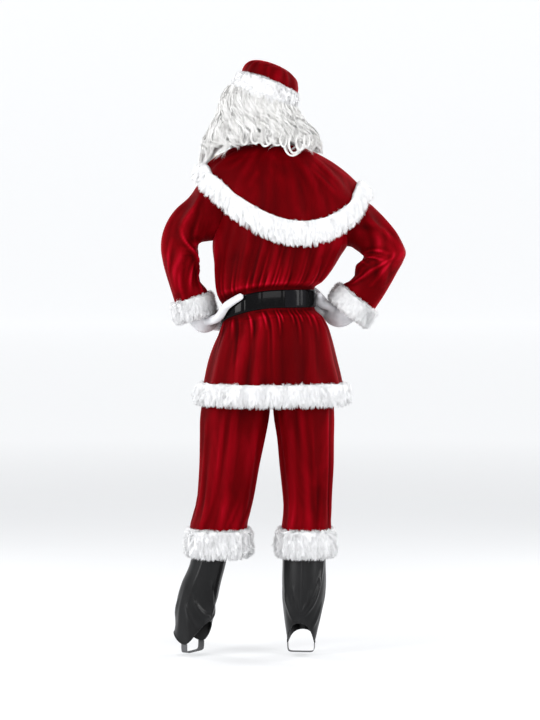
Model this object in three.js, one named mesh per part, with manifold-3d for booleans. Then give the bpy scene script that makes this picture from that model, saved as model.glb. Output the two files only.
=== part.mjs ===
// A worn Santa costume set: hat, wig and beard, shoulder cape, belted jacket, gloves,
// trousers and boot covers, each cloth piece a thin wall that keeps its hollow worn form.
// Millimetres, +Z up, +X to the wearer's right, +Y to the wearer's front.
// The tables give heights above the ground; the group is then lowered to the wearer's hold.
import * as THREE from 'three';
import Module from 'manifold-3d';
import { mergeVertices } from 'three/addons/utils/BufferGeometryUtils.js';

const wasm = await Module();
wasm.setup();

// Driving sizes
const HOLD_HEIGHT = 1500;
const CLOTH = 2;
const SEAM = 0.3;
const REST_GAP = 0.6;
const CLEAN = 0.05;
const WAIST = 1124;
const BELT_WIDTH = 56;
const BELT_THICK = 3;
const FULL = Math.PI * 2;
const QUARTER = Math.PI / 2;

const vec = (x, y, z) => new THREE.Vector3(x, y, z);
const deg = THREE.MathUtils.degToRad;
const table = (columns, rows) => rows.map(
  (row) => Object.fromEntries(columns.map((name, i) => [name, row[i]])));
const steps = (from, to, count) => Array.from(
  { length: count + 1 }, (_, i) => from + ((to - from) * i) / count);
const bell = (t) => (Math.abs(t) < 1 ? (1 + Math.cos(Math.PI * t)) / 2 : 0);
const turnBetween = (a, b) => Math.atan2(Math.sin(a - b), Math.cos(a - b));

// Colours and finishes
const finish = (color, roughness, metalness = 0) => ({ color, roughness, metalness });
const VELVET = finish(0x8e0a1e, 0.75);
const FUR = finish(0xf2f1ef, 0.95);
const HAIR = finish(0xe9e8e4, 0.7);
const VINYL = finish(0x0a0a0b, 0.15);
const SATIN = finish(0x1c1c1e, 0.45);
const KNIT = finish(0xe4e4e6, 0.9);
const METAL = finish(0xb9b9bd, 0.3, 0.9);
const BUTTON = finish(0xe6d8b4, 0.4);

// Rows of a table at a fractional row number, all columns by one smooth cubic
function rowAt(rows, s) {
  const last = rows.length - 1;
  const i = Math.min(Math.max(Math.floor(s), 0), last - 1);
  const t = s - i;
  const pick = (k) => rows[Math.min(Math.max(k, 0), last)];
  const [a, b, c, d] = [pick(i - 1), pick(i), pick(i + 1), pick(i + 2)];
  const mix = (name) => {
    const inSlope = (c[name] - a[name]) / 2;
    const outSlope = (d[name] - b[name]) / 2;
    const t2 = t * t;
    const t3 = t2 * t;
    return b[name] * (2 * t3 - 3 * t2 + 1) + inSlope * (t3 - 2 * t2 + t)
      + c[name] * (3 * t2 - 2 * t3) + outSlope * (t3 - t2);
  };
  return Object.fromEntries(Object.keys(b).map((name) => [name, mix(name)]));
}

// Radius of a rounded oval at an angle, square-ish where power is over 2
function ovalRadius(angle, halfWidth, halfDepth, power) {
  const c = Math.abs(Math.cos(angle)) / halfWidth;
  const s = Math.abs(Math.sin(angle)) / halfDepth;
  return (c ** power + s ** power) ** (-1 / power);
}

// Depth of all folds at one place: each fold is a soft ridge or trough along a line
function foldDepth(folds, angle, s) {
  return folds.reduce((sum, fold) => {
    const along = (s - fold.from) / (fold.to - fold.from);
    if (along <= 0 || along >= 1) return sum;
    const line = deg(fold.angle + fold.lean * (along - 0.5));
    const across = turnBetween(angle, line) / deg(fold.width);
    return sum + fold.depth * bell(across) * Math.sin(Math.PI * along) ** 0.7;
  }, 0);
}

// A surface is a function of row number and angle; at() moves its point out along the normal
function surface(base) {
  const cross = (s, a) => {
    const e = 0.01;
    const along = base(s + e, a).sub(base(s - e, a));
    const around = base(s, a + e).sub(base(s, a - e));
    return around.cross(along).normalize();
  };
  const middle = base(1, 0).add(base(1, Math.PI)).multiplyScalar(0.5);
  const sign = Math.sign(cross(1, 0).dot(base(1, 0).sub(middle)));
  return { base, at: (s, a, out) => base(s, a).addScaledVector(cross(s, a), out * sign) };
}

// Closed mesh through loops of points; an open row of loops is capped by strips
function loft(loops, closed) {
  const count = loops[0].length;
  const positions = loops.flat().flatMap((p) => [p.x, p.y, p.z]);
  const index = [];
  const quad = (a, b, c, d) => index.push(a, b, c, a, c, d);
  const spans = closed ? loops.length : loops.length - 1;
  for (let i = 0; i < spans; i += 1) {
    const here = i * count;
    const next = ((i + 1) % loops.length) * count;
    for (let j = 0; j < count; j += 1) {
      const k = (j + 1) % count;
      quad(here + j, next + j, next + k, here + k);
    }
  }
  if (!closed) {
    const end = (loops.length - 1) * count;
    for (let j = 0; j < count / 2 - 1; j += 1) {
      const k = count - 1 - j;
      quad(j, j + 1, k - 1, k);
      quad(end + k, end + k - 1, end + j + 1, end + j);
    }
  }
  const geometry = new THREE.BufferGeometry();
  geometry.setAttribute('position', new THREE.Float32BufferAttribute(positions, 3));
  geometry.setIndex(volume(positions, index) < 0 ? index.reverse() : index);
  return geometry;
}

function volume(positions, index) {
  const point = (i) => vec(...positions.slice(i * 3, i * 3 + 3));
  let sum = 0;
  for (let i = 0; i < index.length; i += 3) {
    sum += point(index[i]).dot(point(index[i + 1]).cross(point(index[i + 2])));
  }
  return sum;
}

// A cloth wall over part of a surface, outer face at out, inner face CLOTH inside it
function wall(shape, rows, angles, { closed = false, out = 0, thick = CLOTH, shift } = {}) {
  const loops = angles.map((a, i) => {
    const outer = rows.map((s) => shape.at(s, a, out));
    const inner = rows.map((s) => shape.at(s, a, out - thick)).reverse();
    const loop = [...outer, ...inner];
    const move = shift ? shift(i, angles.length) : null;
    return move ? loop.map((p) => p.add(move)) : loop;
  });
  return loft(loops, closed);
}

// A filled body inside a surface, for cutting
function filled(shape, rows, angles, out = 0) {
  return loft(rows.map((s) => angles.map((a) => shape.at(s, a, out))), false);
}

// Fur trim round a surface: a fat rounded band, its edge uneven in soft clumps
const FUR_SECTION = table(['out', 'along'], [
  [0.0, 1.0], [0.62, 1.06], [1.0, 0.7], [1.0, 0.2], [0.62, -0.14], [0.0, 0.0]]);

function clump(a, i) {
  return Math.sin(a * 17 + i * 1.3) * 0.07 + Math.sin(a * 29 + i * 2.1 + 1) * 0.05;
}

function furBand(shape, from, to, angles, thick, closed = true) {
  return loft(angles.map((a) => FUR_SECTION.map((p, i) => {
    const uneven = p.out > 0 ? clump(a, i) : 0;
    const s = from + (to - from) * (p.along + uneven * 0.6);
    return shape.at(s, a, REST_GAP + thick * p.out * (1 + uneven));
  })), closed);
}

// Joining and cutting
function solid(geometry) {
  const bare = geometry.clone();
  bare.deleteAttribute('normal');
  bare.deleteAttribute('uv');
  const merged = mergeVertices(bare, 1e-4);
  return new wasm.Manifold(new wasm.Mesh({
    numProp: 3,
    vertProperties: new Float32Array(merged.attributes.position.array),
    triVerts: new Uint32Array(merged.index.array),
  }));
}

// Slivers left by a cut are cleaned off before the mesh is taken back
function geometryOf(manifold) {
  const mesh = manifold.simplify(CLEAN).getMesh();
  const geometry = new THREE.BufferGeometry();
  geometry.setAttribute('position', new THREE.BufferAttribute(mesh.vertProperties, 3));
  geometry.setIndex(new THREE.BufferAttribute(mesh.triVerts, 1));
  return geometry;
}

const join = (parts) => parts.map(solid).reduce((a, b) => a.add(b));
const largest = (manifold) => manifold.decompose().sort((a, b) => b.volume() - a.volume())[0];

const costume = new THREE.Group();
costume.position.z = -HOLD_HEIGHT;

function piece(name, shape, look) {
  const geometry = shape.isBufferGeometry ? shape : geometryOf(largest(shape));
  const mesh = new THREE.Mesh(geometry, new THREE.MeshStandardMaterial(look));
  mesh.name = name;
  costume.add(mesh);
}

// Jacket body: level rings from the hem up to the neck, tilted with the shoulders
const RING = ['z', 'cx', 'cy', 'width', 'depth', 'power', 'tilt'];
const JACKET_RINGS = table(RING, [
  [806, 6, 0, 222, 174, 2.2, 0],
  [864, 9, 0, 214, 166, 2.2, 0],
  [930, 8, 0, 200, 156, 2.2, 0],
  [990, 9, 0, 185, 147, 2.3, 0],
  [1036, 9, 0, 172, 136, 2.4, 0],
  [1068, 4, 0, 161, 126, 2.4, 0],
  [1091, -5, 0, 147, 115, 2.4, 0],
  [1124, -5, 0, 147, 115, 2.4, 0],
  [1157, -5, 0, 147, 115, 2.4, 0],
  [1176, 1, 0, 165, 130, 2.4, 0],
  [1206, 10, 0, 181, 139, 2.4, 0],
  [1252, 22, 0, 199, 144, 2.4, 0],
  [1302, 34, 0, 216, 148, 2.4, 0],
  [1372, 42, 0, 208, 148, 2.4, -0.06],
  [1442, 45, 0, 200, 138, 2.3, -0.13],
  [1500, 44, 0, 194, 118, 2.3, -0.17],
  [1542, 38, 0, 156, 100, 2.2, -0.16],
  [1572, 26, 0, 104, 86, 2.1, -0.12],
  [1598, 18, 0, 82, 77, 2, -0.08]]);
const WAIST_ROW = 7;

// Folds run along rows; angle 0 is the right side, -90 the centre back, 180 the left side
const FOLD = ['angle', 'from', 'to', 'depth', 'width', 'lean'];
const JACKET_FOLDS = table(FOLD, [
  [-172, -4, 5.9, 9, 11, 8],
  [-150, -4, 5.8, 13, 11, 12],
  [-127, -4, 5.2, 10, 10, 10],
  [-108, -4, 5.9, 14, 10, 8],
  [-88, -4, 5.0, 9, 9, 2],
  [-68, -4, 5.8, 12, 11, -8],
  [-46, -4, 5.4, 9, 9, -9],
  [-24, -4, 5.9, 14, 12, -10],
  [-3, -4, 5.2, 9, 10, -6],
  [28, -4, 5.6, 11, 13, -5],
  [62, -4, 5.4, 10, 13, -3],
  [118, -4, 5.4, 10, 13, 4],
  [150, -4, 5.7, 12, 12, 6],
  [-166, 8.2, 12.5, 9, 9, 16],
  [-146, 8.1, 13.6, 8, 8, 14],
  [-127, 8.1, 14.5, 7, 7, 10],
  [-110, 8.1, 13.4, 8, 7, 8],
  [-93, 8.1, 14.6, 7, 7, 2],
  [-76, 8.1, 13.6, 8, 7, -4],
  [-60, 8.1, 14.4, 7, 7, -10],
  [-43, 8.1, 13.4, 9, 8, -14],
  [-22, 8.2, 12.6, 9, 9, -18],
  [20, 8.2, 12.4, 8, 10, -12],
  [52, 8.2, 13.0, 8, 10, -8],
  [128, 8.2, 13.0, 8, 10, 8],
  [158, 8.2, 12.4, 8, 10, 12]]);

// The belt is level at the back and right, and hangs low at the front left
const BELT_DROP = 74;
const BELT_LOW_SIDE = deg(140);
const DROP_REACH = 120;
const FOLD_BASE = 3;

function waistDrop(angle, z) {
  const side = ((1 + Math.cos(angle - BELT_LOW_SIDE)) / 2) ** 2;
  return BELT_DROP * side * Math.exp(-(((z - WAIST) / DROP_REACH) ** 2));
}

const jacket = surface((s, a) => {
  const row = rowAt(JACKET_RINGS, s);
  const radius = ovalRadius(a, row.width, row.depth, row.power);
  const reach = radius + foldDepth(JACKET_FOLDS, a, s) - FOLD_BASE;
  const x = Math.cos(a) * reach;
  const y = Math.sin(a) * reach;
  return vec(row.cx + x, row.cy + y, row.z + row.tilt * x - waistDrop(a, row.z));
});

const JACKET_ROWS = [0, 1, 2.4, 3.7, 4.8, 6, 8, 8.7, 9.8, 11.2, 12.6, 14, 15, 16, 17, 18];
const BACK_ANGLES = steps(-Math.PI, 0, 30);
const FRONT_RIGHT_ANGLES = steps(0, QUARTER, 9);
const FRONT_LEFT_ANGLES = steps(QUARTER, Math.PI, 9);
const ROUND_ANGLES = [...BACK_ANGLES.slice(0, -1), ...FRONT_RIGHT_ANGLES.slice(0, -1),
  ...FRONT_LEFT_ANGLES.slice(0, -1)];

// Half the seam gap, taken off both edges of a panel
const half = SEAM / 2;
const edgeShift = (first, last) => (i, count) => {
  if (i === 0) return first;
  return i === count - 1 ? last : null;
};

// Sleeves: sections across the arm, each from its outer to its inner edge as seen from behind
const ARM = ['outX', 'outZ', 'inX', 'inZ', 'y', 'deep'];
const ARM_LEFT = table(ARM, [
  [-118, 1560, -150, 1304, 0, 82],
  [-165, 1540, -184, 1300, 0, 86],
  [-212, 1500, -200, 1298, -3, 84],
  [-250, 1440, -212, 1296, -8, 78],
  [-298, 1392, -218, 1294, -14, 72],
  [-330, 1336, -221, 1286, -22, 68],
  [-341, 1284, -223, 1266, -28, 66],
  [-336, 1240, -226, 1237, -26, 64],
  [-327, 1202, -226, 1206, -18, 62],
  [-314, 1158, -216, 1176, -8, 60],
  [-300, 1111, -192, 1144, 2, 58],
  [-286, 1056, -184, 1088, 12, 56]]);
const ARM_RIGHT = table(ARM, [
  [196, 1500, 214, 1284, 0, 82],
  [246, 1476, 250, 1282, 0, 86],
  [286, 1442, 264, 1274, -3, 84],
  [324, 1406, 277, 1265, -8, 78],
  [368, 1358, 286, 1258, -14, 72],
  [402, 1314, 289, 1252, -22, 68],
  [424, 1270, 287, 1244, -28, 66],
  [416, 1238, 280, 1234, -26, 66],
  [399, 1206, 270, 1220, -18, 64],
  [380, 1170, 262, 1196, -8, 62],
  [357, 1130, 246, 1178, 0, 60],
  [328, 1086, 226, 1166, 6, 60],
  [300, 1044, 196, 1124, 12, 58]]);

// Crumples at the elbow and soft folds along the arm; angle 0 is the inner side, -90 the back
const SLEEVE_FOLDS = table(FOLD, [
  [-95, 2.0, 6.0, 9, 26, 60],
  [-150, 2.5, 7.0, 8, 24, 30],
  [-40, 3.0, 6.4, 9, 25, -40],
  [-100, 5.6, 9.6, 9, 24, -50],
  [-20, 5.4, 9.0, 8, 24, 40],
  [150, 3.0, 8.0, 8, 26, -30],
  [70, 2.5, 8.5, 8, 26, 30]]);

function arm(rows) {
  return surface((s, a) => {
    const row = rowAt(rows, s);
    const across = vec((row.inX - row.outX) / 2, 0, (row.inZ - row.outZ) / 2);
    const radius = ovalRadius(a, across.length(), row.deep, 2.1);
    const reach = radius + foldDepth(SLEEVE_FOLDS, a, s) - 2;
    const centre = vec((row.inX + row.outX) / 2, row.y, (row.inZ + row.outZ) / 2);
    return centre.addScaledVector(across.normalize(), Math.cos(a) * reach)
      .add(vec(0, Math.sin(a) * reach, 0));
  });
}

const SLEEVE_ANGLES = steps(0, FULL, 16).slice(0, -1);
const SLEEVES = [
  { side: 'left', shape: arm(ARM_LEFT), rows: [0, 1, 2, 3, 4, 5, 6, 7, 8, 9, 10, 11] },
  { side: 'right', shape: arm(ARM_RIGHT), rows: [0, 1, 2, 3, 4, 5, 6, 7, 8.3, 9.7, 11, 12] }];

// Grown by the seam gap, a filled piece cuts a snug seat for what lies against it
const bodyGrown = solid(filled(jacket, [-0.4, ...JACKET_ROWS], ROUND_ANGLES, SEAM));
const armHollows = SLEEVES.map(({ shape, rows }) => (
  solid(filled(shape, rows, SLEEVE_ANGLES, -CLOTH))));

function jacketPanel(name, angles, first, last) {
  const cloth = solid(wall(jacket, JACKET_ROWS, angles, { shift: edgeShift(first, last) }));
  piece(name, armHollows.reduce((a, b) => a.subtract(b), cloth), VELVET);
}

jacketPanel('jacket_back', BACK_ANGLES, vec(0, -half, 0), vec(0, -half, 0));
jacketPanel('jacket_front_right', FRONT_RIGHT_ANGLES, vec(0, half, 0), vec(half, 0, 0));
jacketPanel('jacket_front_left', FRONT_LEFT_ANGLES, vec(-half, 0, 0), vec(0, half, 0));
piece('jacket_fur_hem', furBand(jacket, 0, 1, ROUND_ANGLES, 28), FUR);

SLEEVES.forEach(({ side, shape, rows }) => {
  const [cuff, end] = rows.slice(-2);
  const cloth = solid(wall(shape, rows, SLEEVE_ANGLES, { closed: true }));
  piece(`sleeve_${side}`, cloth.subtract(bodyGrown), VELVET);
  piece(`sleeve_fur_${side}`, furBand(shape, cuff, end, SLEEVE_ANGLES, 17), FUR);
});

// Belt: a band of thick vinyl round the waist, closed by a plain frame buckle in front
const belt = surface((s, a) => {
  const row = JACKET_RINGS[WAIST_ROW];
  const reach = ovalRadius(a, row.width, row.depth, row.power) - FOLD_BASE;
  return vec(row.cx + Math.cos(a) * reach, row.cy + Math.sin(a) * reach,
    row.z + s - waistDrop(a, row.z));
});
const BELT_OUT = REST_GAP + BELT_THICK;
piece('belt', wall(belt, [-BELT_WIDTH / 2, BELT_WIDTH / 2], ROUND_ANGLES, {
  closed: true, out: BELT_OUT, thick: BELT_THICK }), VINYL);

const BUCKLE = { width: 84, height: 60, bar: 10, depth: 4, radius: 6 };

function roundedFrame(width, height, radius) {
  const shape = new THREE.Shape();
  const [x, y] = [width / 2 - radius, height / 2 - radius];
  shape.absarc(x, y, radius, 0, QUARTER);
  shape.absarc(-x, y, radius, QUARTER, 2 * QUARTER);
  shape.absarc(-x, -y, radius, 2 * QUARTER, 3 * QUARTER);
  shape.absarc(x, -y, radius, 3 * QUARTER, FULL);
  return shape;
}

function buckle() {
  const { width, height, bar, depth, radius } = BUCKLE;
  const plate = new THREE.ExtrudeGeometry(roundedFrame(width, height, radius), {
    depth, bevelEnabled: false, curveSegments: 3 });
  const holeWidth = (width - 3 * bar) / 2;
  const holes = [-1, 1].map((sign) => {
    const hole = new THREE.BoxGeometry(holeWidth, height - 2 * bar, 3 * depth);
    return hole.translate((sign * (holeWidth + bar)) / 2, 0, 0);
  });
  const front = belt.at(0, QUARTER, BELT_OUT + SEAM);
  const frame = holes.reduce((rest, hole) => rest.subtract(solid(hole)), solid(plate));
  const geometry = geometryOf(frame);
  const slope = belt.at(0, deg(80), 0).sub(belt.at(0, deg(100), 0));
  geometry.rotateX(QUARTER);
  geometry.rotateY(-Math.atan2(slope.z, slope.x));
  return geometry.translate(front.x, front.y + depth, front.z);
}
piece('belt_buckle', buckle(), METAL);

// Trousers: hips and two legs joined as filled bodies, hollowed, then parted at the centre
const HIP_RINGS = table(RING, [
  [786, 0, 2, 150, 96, 2.2, 0],
  [822, -2, 3, 166, 122, 2.2, 0],
  [884, -2, 4, 174, 132, 2.2, 0],
  [950, -3, 3, 160, 124, 2.3, 0],
  [1010, -5, 0, 141, 109, 2.4, 0],
  [1122, -5, 0, 141.2, 109.2, 2.4, 0]]);
const LEG_LEFT = table(RING, [
  [326, -160, 0, 93, 88, 2.1, 0],
  [404, -160, 0, 91, 88, 2.1, 0],
  [452, -150, 0, 89, 87, 2.1, 0],
  [508, -139, 0, 89, 88, 2.1, 0],
  [602, -127, 0, 93, 93, 2.1, 0],
  [686, -117, 0, 101, 99, 2.1, 0],
  [750, -110, 0, 107, 107, 2.1, 0],
  [800, -104, 2, 106, 116, 2.1, 0],
  [870, -96, 4, 92, 116, 2.1, 0],
  [950, -80, 4, 72, 100, 2.1, 0]]);
const LEG_RIGHT = table(RING, [
  [326, 112, 0, 83, 86, 2.1, 0],
  [404, 114, 0, 80, 86, 2.1, 0],
  [452, 116, 0, 77, 85, 2.1, 0],
  [508, 116, 0, 77, 86, 2.1, 0],
  [602, 114, 0, 83, 92, 2.1, 0],
  [686, 111, 0, 87, 98, 2.1, 0],
  [750, 107, 0, 93, 106, 2.1, 0],
  [800, 104, 2, 94, 116, 2.1, 0],
  [870, 96, 4, 88, 116, 2.1, 0],
  [950, 76, 4, 72, 100, 2.1, 0]]);
const LEG_FOLDS = table(FOLD, [
  [-128, -1, 5.5, 6, 15, 12],
  [-92, 0.5, 8.5, 7, 14, -14],
  [-52, -1, 6.5, 6, 15, 10],
  [-165, 2.5, 9, 6, 16, 12],
  [-15, 1.5, 8, 6, 16, -10],
  [40, -1, 6, 6, 18, 12],
  [95, 0, 8, 6, 18, -8],
  [140, -1, 7, 6, 18, 8]]);
const FOLD_LEG = 2;

function ringTube(rings, folds, base) {
  return surface((s, a) => {
    const row = rowAt(rings, s);
    const reach = ovalRadius(a, row.width, row.depth, row.power)
      + foldDepth(folds, a, s) - base;
    const x = Math.cos(a) * reach;
    return vec(row.cx + x, row.cy + Math.sin(a) * reach, row.z + row.tilt * x);
  });
}

const hips = ringTube(HIP_RINGS, [], 0);
const legs = { left: ringTube(LEG_LEFT, LEG_FOLDS, FOLD_LEG),
  right: ringTube(LEG_RIGHT, LEG_FOLDS, FOLD_LEG) };
const LEG_START = deg(-130);
const LEG_ANGLES = steps(LEG_START, LEG_START + FULL, 18).slice(0, -1);
const LEG_ROWS = [0, 1, 2.2, 3.6, 5, 6.2, 7.2, 9];
const CROTCH_X = 5;

function trouserBody(out, first) {
  const hip = filled(hips, [0, 1, 2, 3, 4, 5 + first], LEG_ANGLES, out);
  const tubes = Object.values(legs).map(
    (leg) => filled(leg, [-first, ...LEG_ROWS], LEG_ANGLES, out));
  return join([hip, ...tubes]);
}

const trousers = trouserBody(0, 0).subtract(trouserBody(-CLOTH, 0.05));
[['left', -1], ['right', 1]].forEach(([side, sign]) => {
  const span = 600;
  const halfSpace = new THREE.BoxGeometry(span, span, 1400);
  halfSpace.translate(CROTCH_X + sign * (span / 2 + half), 0, 700);
  piece(`trousers_${side}`, trousers.intersect(solid(halfSpace)), VELVET);
  piece(`trouser_fur_${side}`, furBand(legs[side], 0, 1, LEG_ANGLES, 19.5), FUR);
});

// Boot covers: satin tubes over ankle and instep, cut high at the heel, with a strap under
const COVER = ['z', 'cx', 'cy', 'long', 'wide'];
const COVERS = [
  { side: 'left', toe: deg(148), rows: table(COVER, [
    [40, -243, 14, 64, 50],
    [90, -237, 12, 65, 50],
    [145, -234, 8, 67, 51],
    [190, -226, 5, 68, 54],
    [235, -214, 2, 64, 57],
    [285, -196.6, 0, 58, 57],
    [350, -182.6, 0, 57, 57],
    [425, -174, 0, 57, 56]]) },
  { side: 'right', toe: deg(84), rows: table(COVER, [
    [40, 98, 12, 66, 44],
    [90, 101, 10, 66, 52],
    [140, 103, 6, 67, 59],
    [186, 105, 4, 68, 66],
    [235, 106, 4, 68, 69],
    [285, 107, 6, 68, 69],
    [350, 108, 10, 68, 68],
    [425, 110, 14, 66, 66]]) }];
const HEEL_LIFT = 72;
const INSTEP_LIFT = 34;
const LIFT_FADE = 3;
const COVER_ANGLES = steps(0, FULL, 16).slice(0, -1);

function coverSurface({ toe, rows }) {
  return surface((s, a) => {
    const row = rowAt(rows, s);
    const local = a - toe;
    const reach = ovalRadius(local, row.long, row.wide, 2);
    const c = Math.cos(local);
    const lift = c * c * (c < 0 ? HEEL_LIFT : INSTEP_LIFT);
    const fade = Math.max(0, 1 - s / LIFT_FADE) ** 1.5;
    return vec(row.cx + Math.cos(a) * reach, row.cy + Math.sin(a) * reach,
      row.z + lift * fade);
  });
}

// Flat strap down from both side hems and under the arch
function strap({ toe, rows }, shape) {
  const lengthwise = vec(Math.cos(toe), Math.sin(toe), 0);
  const [left, right] = [toe + QUARTER, toe - QUARTER].map((a) => shape.at(0, a, 0));
  const middle = left.clone().add(right).multiplyScalar(0.5);
  const aside = right.clone().sub(left).multiplyScalar(0.5);
  const STRAP = { width: 22, thick: 1.5, drop: 30, bend: 12 };
  const path = [[-1, 0], [-1, -STRAP.drop + STRAP.bend], [-0.8, -STRAP.drop],
    [0.8, -STRAP.drop], [1, -STRAP.drop + STRAP.bend], [1, 0]];
  const loops = path.map(([across, down]) => {
    const inward = Math.abs(across) < 1 ? 0 : -Math.sign(across) * STRAP.thick;
    const rise = Math.abs(across) < 1 ? STRAP.thick : 0;
    const outer = middle.clone().addScaledVector(aside, across)
      .add(vec(0, 0, down - SEAM));
    const inner = outer.clone().add(vec(0, 0, rise))
      .addScaledVector(aside.clone().normalize(), inward);
    const edge = (p, sign) => p.clone().addScaledVector(lengthwise, (sign * STRAP.width) / 2);
    return [edge(outer, -1), edge(outer, 1), edge(inner, 1), edge(inner, -1)];
  });
  return loft(loops, false);
}

COVERS.forEach((cover) => {
  const shape = coverSurface(cover);
  const angles = COVER_ANGLES.map((a) => a + cover.toe);
  piece(`boot_cover_${cover.side}`,
    wall(shape, [0, 1, 2, 3, 5, 7], angles, { closed: true }), SATIN);
  piece(`boot_strap_${cover.side}`, strap(cover, shape), SATIN);
});

// Shoulder cape: from each point of its edge a curve rises over the shoulders to the neck
const CAPE = ['x', 'y', 'z', 'out', 'up'];
const CAPE_START = -270;
const CAPE_STEP = 30;
const CAPE_EDGE = table(CAPE, [
  [20, 166, 1352, 50, 62],
  [-84, 152, 1362, 50, 58],
  [-176, 106, 1428, 42, 46],
  [-222, 12, 1505, 22, 30],
  [-198, -86, 1466, 40, 44],
  [-98, -148, 1375, 52, 62],
  [20, -170, 1312, 56, 70],
  [130, -170, 1302, 54, 66],
  [238, -136, 1350, 48, 56],
  [304, -20, 1442, 22, 32],
  [266, 104, 1408, 44, 46],
  [130, 154, 1358, 52, 60],
  [26, 166, 1352, 50, 62]]);
const CAPE_NECK = { cx: 18, width: 80, depth: 75, z: 1600.4, tilt: -0.08 };
const CAPE_FUR = 74;
const CAPE_ROWS = 6;
const CAPE_FOLDS = table(FOLD, [
  [-168, -3, 4.5, 6, 10, 14],
  [-146, -3, 5, 8, 9, 16],
  [-122, -3, 5.4, 6, 8, 10],
  [-98, -3, 5.2, 5, 8, 6],
  [-72, -3, 5.6, 6, 9, -6],
  [-50, -3, 4.8, 7, 9, -12],
  [-24, -3, 5, 7, 9, -14],
  [40, -3, 5, 6, 10, -8],
  [140, -3, 5, 6, 10, 8]]);

const cape = surface((u, a) => {
  const turn = (THREE.MathUtils.radToDeg(a) - CAPE_START + 720) % 360;
  const row = rowAt(CAPE_EDGE, turn / CAPE_STEP);
  const reach = ovalRadius(a, CAPE_NECK.width, CAPE_NECK.depth, 2);
  const outward = vec(Math.cos(a), Math.sin(a), 0);
  const neck = vec(CAPE_NECK.cx, 0, CAPE_NECK.z).addScaledVector(outward, reach);
  neck.z += CAPE_NECK.tilt * (neck.x - CAPE_NECK.cx);
  const edge = vec(row.x, row.y, row.z);
  const bend = neck.clone().add(edge).multiplyScalar(0.5)
    .addScaledVector(outward, row.out).add(vec(0, 0, row.up));
  const length = edge.distanceTo(bend) * 0.5 + bend.distanceTo(neck) * 0.5
    + edge.distanceTo(neck) * 0.5;
  const run = u <= 1 ? u * CAPE_FUR
    : CAPE_FUR + ((u - 1) / (CAPE_ROWS - 1)) * (length - CAPE_FUR);
  const t = run / length;
  const point = edge.multiplyScalar((1 - t) * (1 - t))
    .addScaledVector(bend, 2 * t * (1 - t)).addScaledVector(neck, t * t);
  return point.addScaledVector(outward, foldDepth(CAPE_FOLDS, a, u));
});

const FRONT_GAP = deg(2);
const CAPE_ANGLES = [-3 * QUARTER + FRONT_GAP, ...steps(-3 * QUARTER, -Math.PI, 9).slice(1),
  ...steps(-Math.PI, 0, 30).slice(1), ...steps(0, QUARTER, 9).slice(1, -1),
  QUARTER - FRONT_GAP];
piece('cape', wall(cape, [0, 1, 2, 3.3, 4.6, 6], CAPE_ANGLES), VELVET);
piece('cape_fur', furBand(cape, 0, 1, CAPE_ANGLES, 22, false), FUR);

// Small dished buttons lying on the flat faces of the cloth
const BUTTON_SIZE = { radius: 6, thick: 3 };
function button(shape, s, a, lift) {
  const { radius, thick } = BUTTON_SIZE;
  const foot = shape.at(s, a, lift);
  const normal = shape.at(s, a, 1).sub(shape.at(s, a, 0)).normalize();
  const disc = new THREE.CylinderGeometry(radius * 0.8, radius, thick, 12);
  disc.translate(0, thick / 2, 0);
  const turn = new THREE.Quaternion().setFromUnitVectors(vec(0, 1, 0), normal);
  disc.applyQuaternion(turn);
  disc.translate(foot.x, foot.y, foot.z);
  return disc;
}
piece('cape_button', button(cape, 1.6, deg(-170), -0.1), BUTTON);
piece('jacket_button', button(jacket, 1.55, deg(-179), -0.45), BUTTON);

// Hat: rings in its own tilted frame, a soft low crown in a fur band
const HAT_CENTRE = vec(-17, 0, 1757);
const HAT_TURN = new THREE.Euler(deg(-6), deg(21), 0);
const HAT_RINGS = table(RING, [
  [-30, 0, 0, 96, 104, 2, 0],
  [0, 0, 0, 95, 104, 2, 0],
  [34, 1, 0, 94, 102, 2, 0],
  [58, 0, -2, 91, 97, 2.1, 0],
  [77, -2, -4, 78, 84, 2.1, 0],
  [90, -4, -6, 50, 56, 2, 0],
  [95, -6, -8, 16, 18, 2, 0]]);
const HAT_FOLDS = table(FOLD, [
  [-150, 1.2, 6, 5, 16, 20],
  [-112, 1.2, 5.6, 4, 13, -10],
  [-74, 1.2, 6, 5, 14, 12],
  [-34, 1.2, 5.8, 5, 16, -16],
  [20, 1.2, 5.8, 5, 18, 10],
  [80, 1.2, 5.8, 5, 18, -10],
  [140, 1.2, 5.8, 5, 18, 10]]);
const hatLocal = ringTube(HAT_RINGS, HAT_FOLDS, 2);
const hat = surface((s, a) => hatLocal.base(s, a).applyEuler(HAT_TURN).add(HAT_CENTRE));
const HAT_ANGLES = steps(-Math.PI, Math.PI, 22).slice(0, -1);
const HAT_ROWS = [0, 2, 3, 4, 5, 6];
const crown = solid(filled(hat, HAT_ROWS, HAT_ANGLES))
  .subtract(solid(filled(hat, [-0.1, ...HAT_ROWS.slice(1)], HAT_ANGLES, -CLOTH)));
piece('hat_crown', crown, VELVET);
piece('hat_band', furBand(hat, 0, 2, HAT_ANGLES, 18), FUR);

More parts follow.
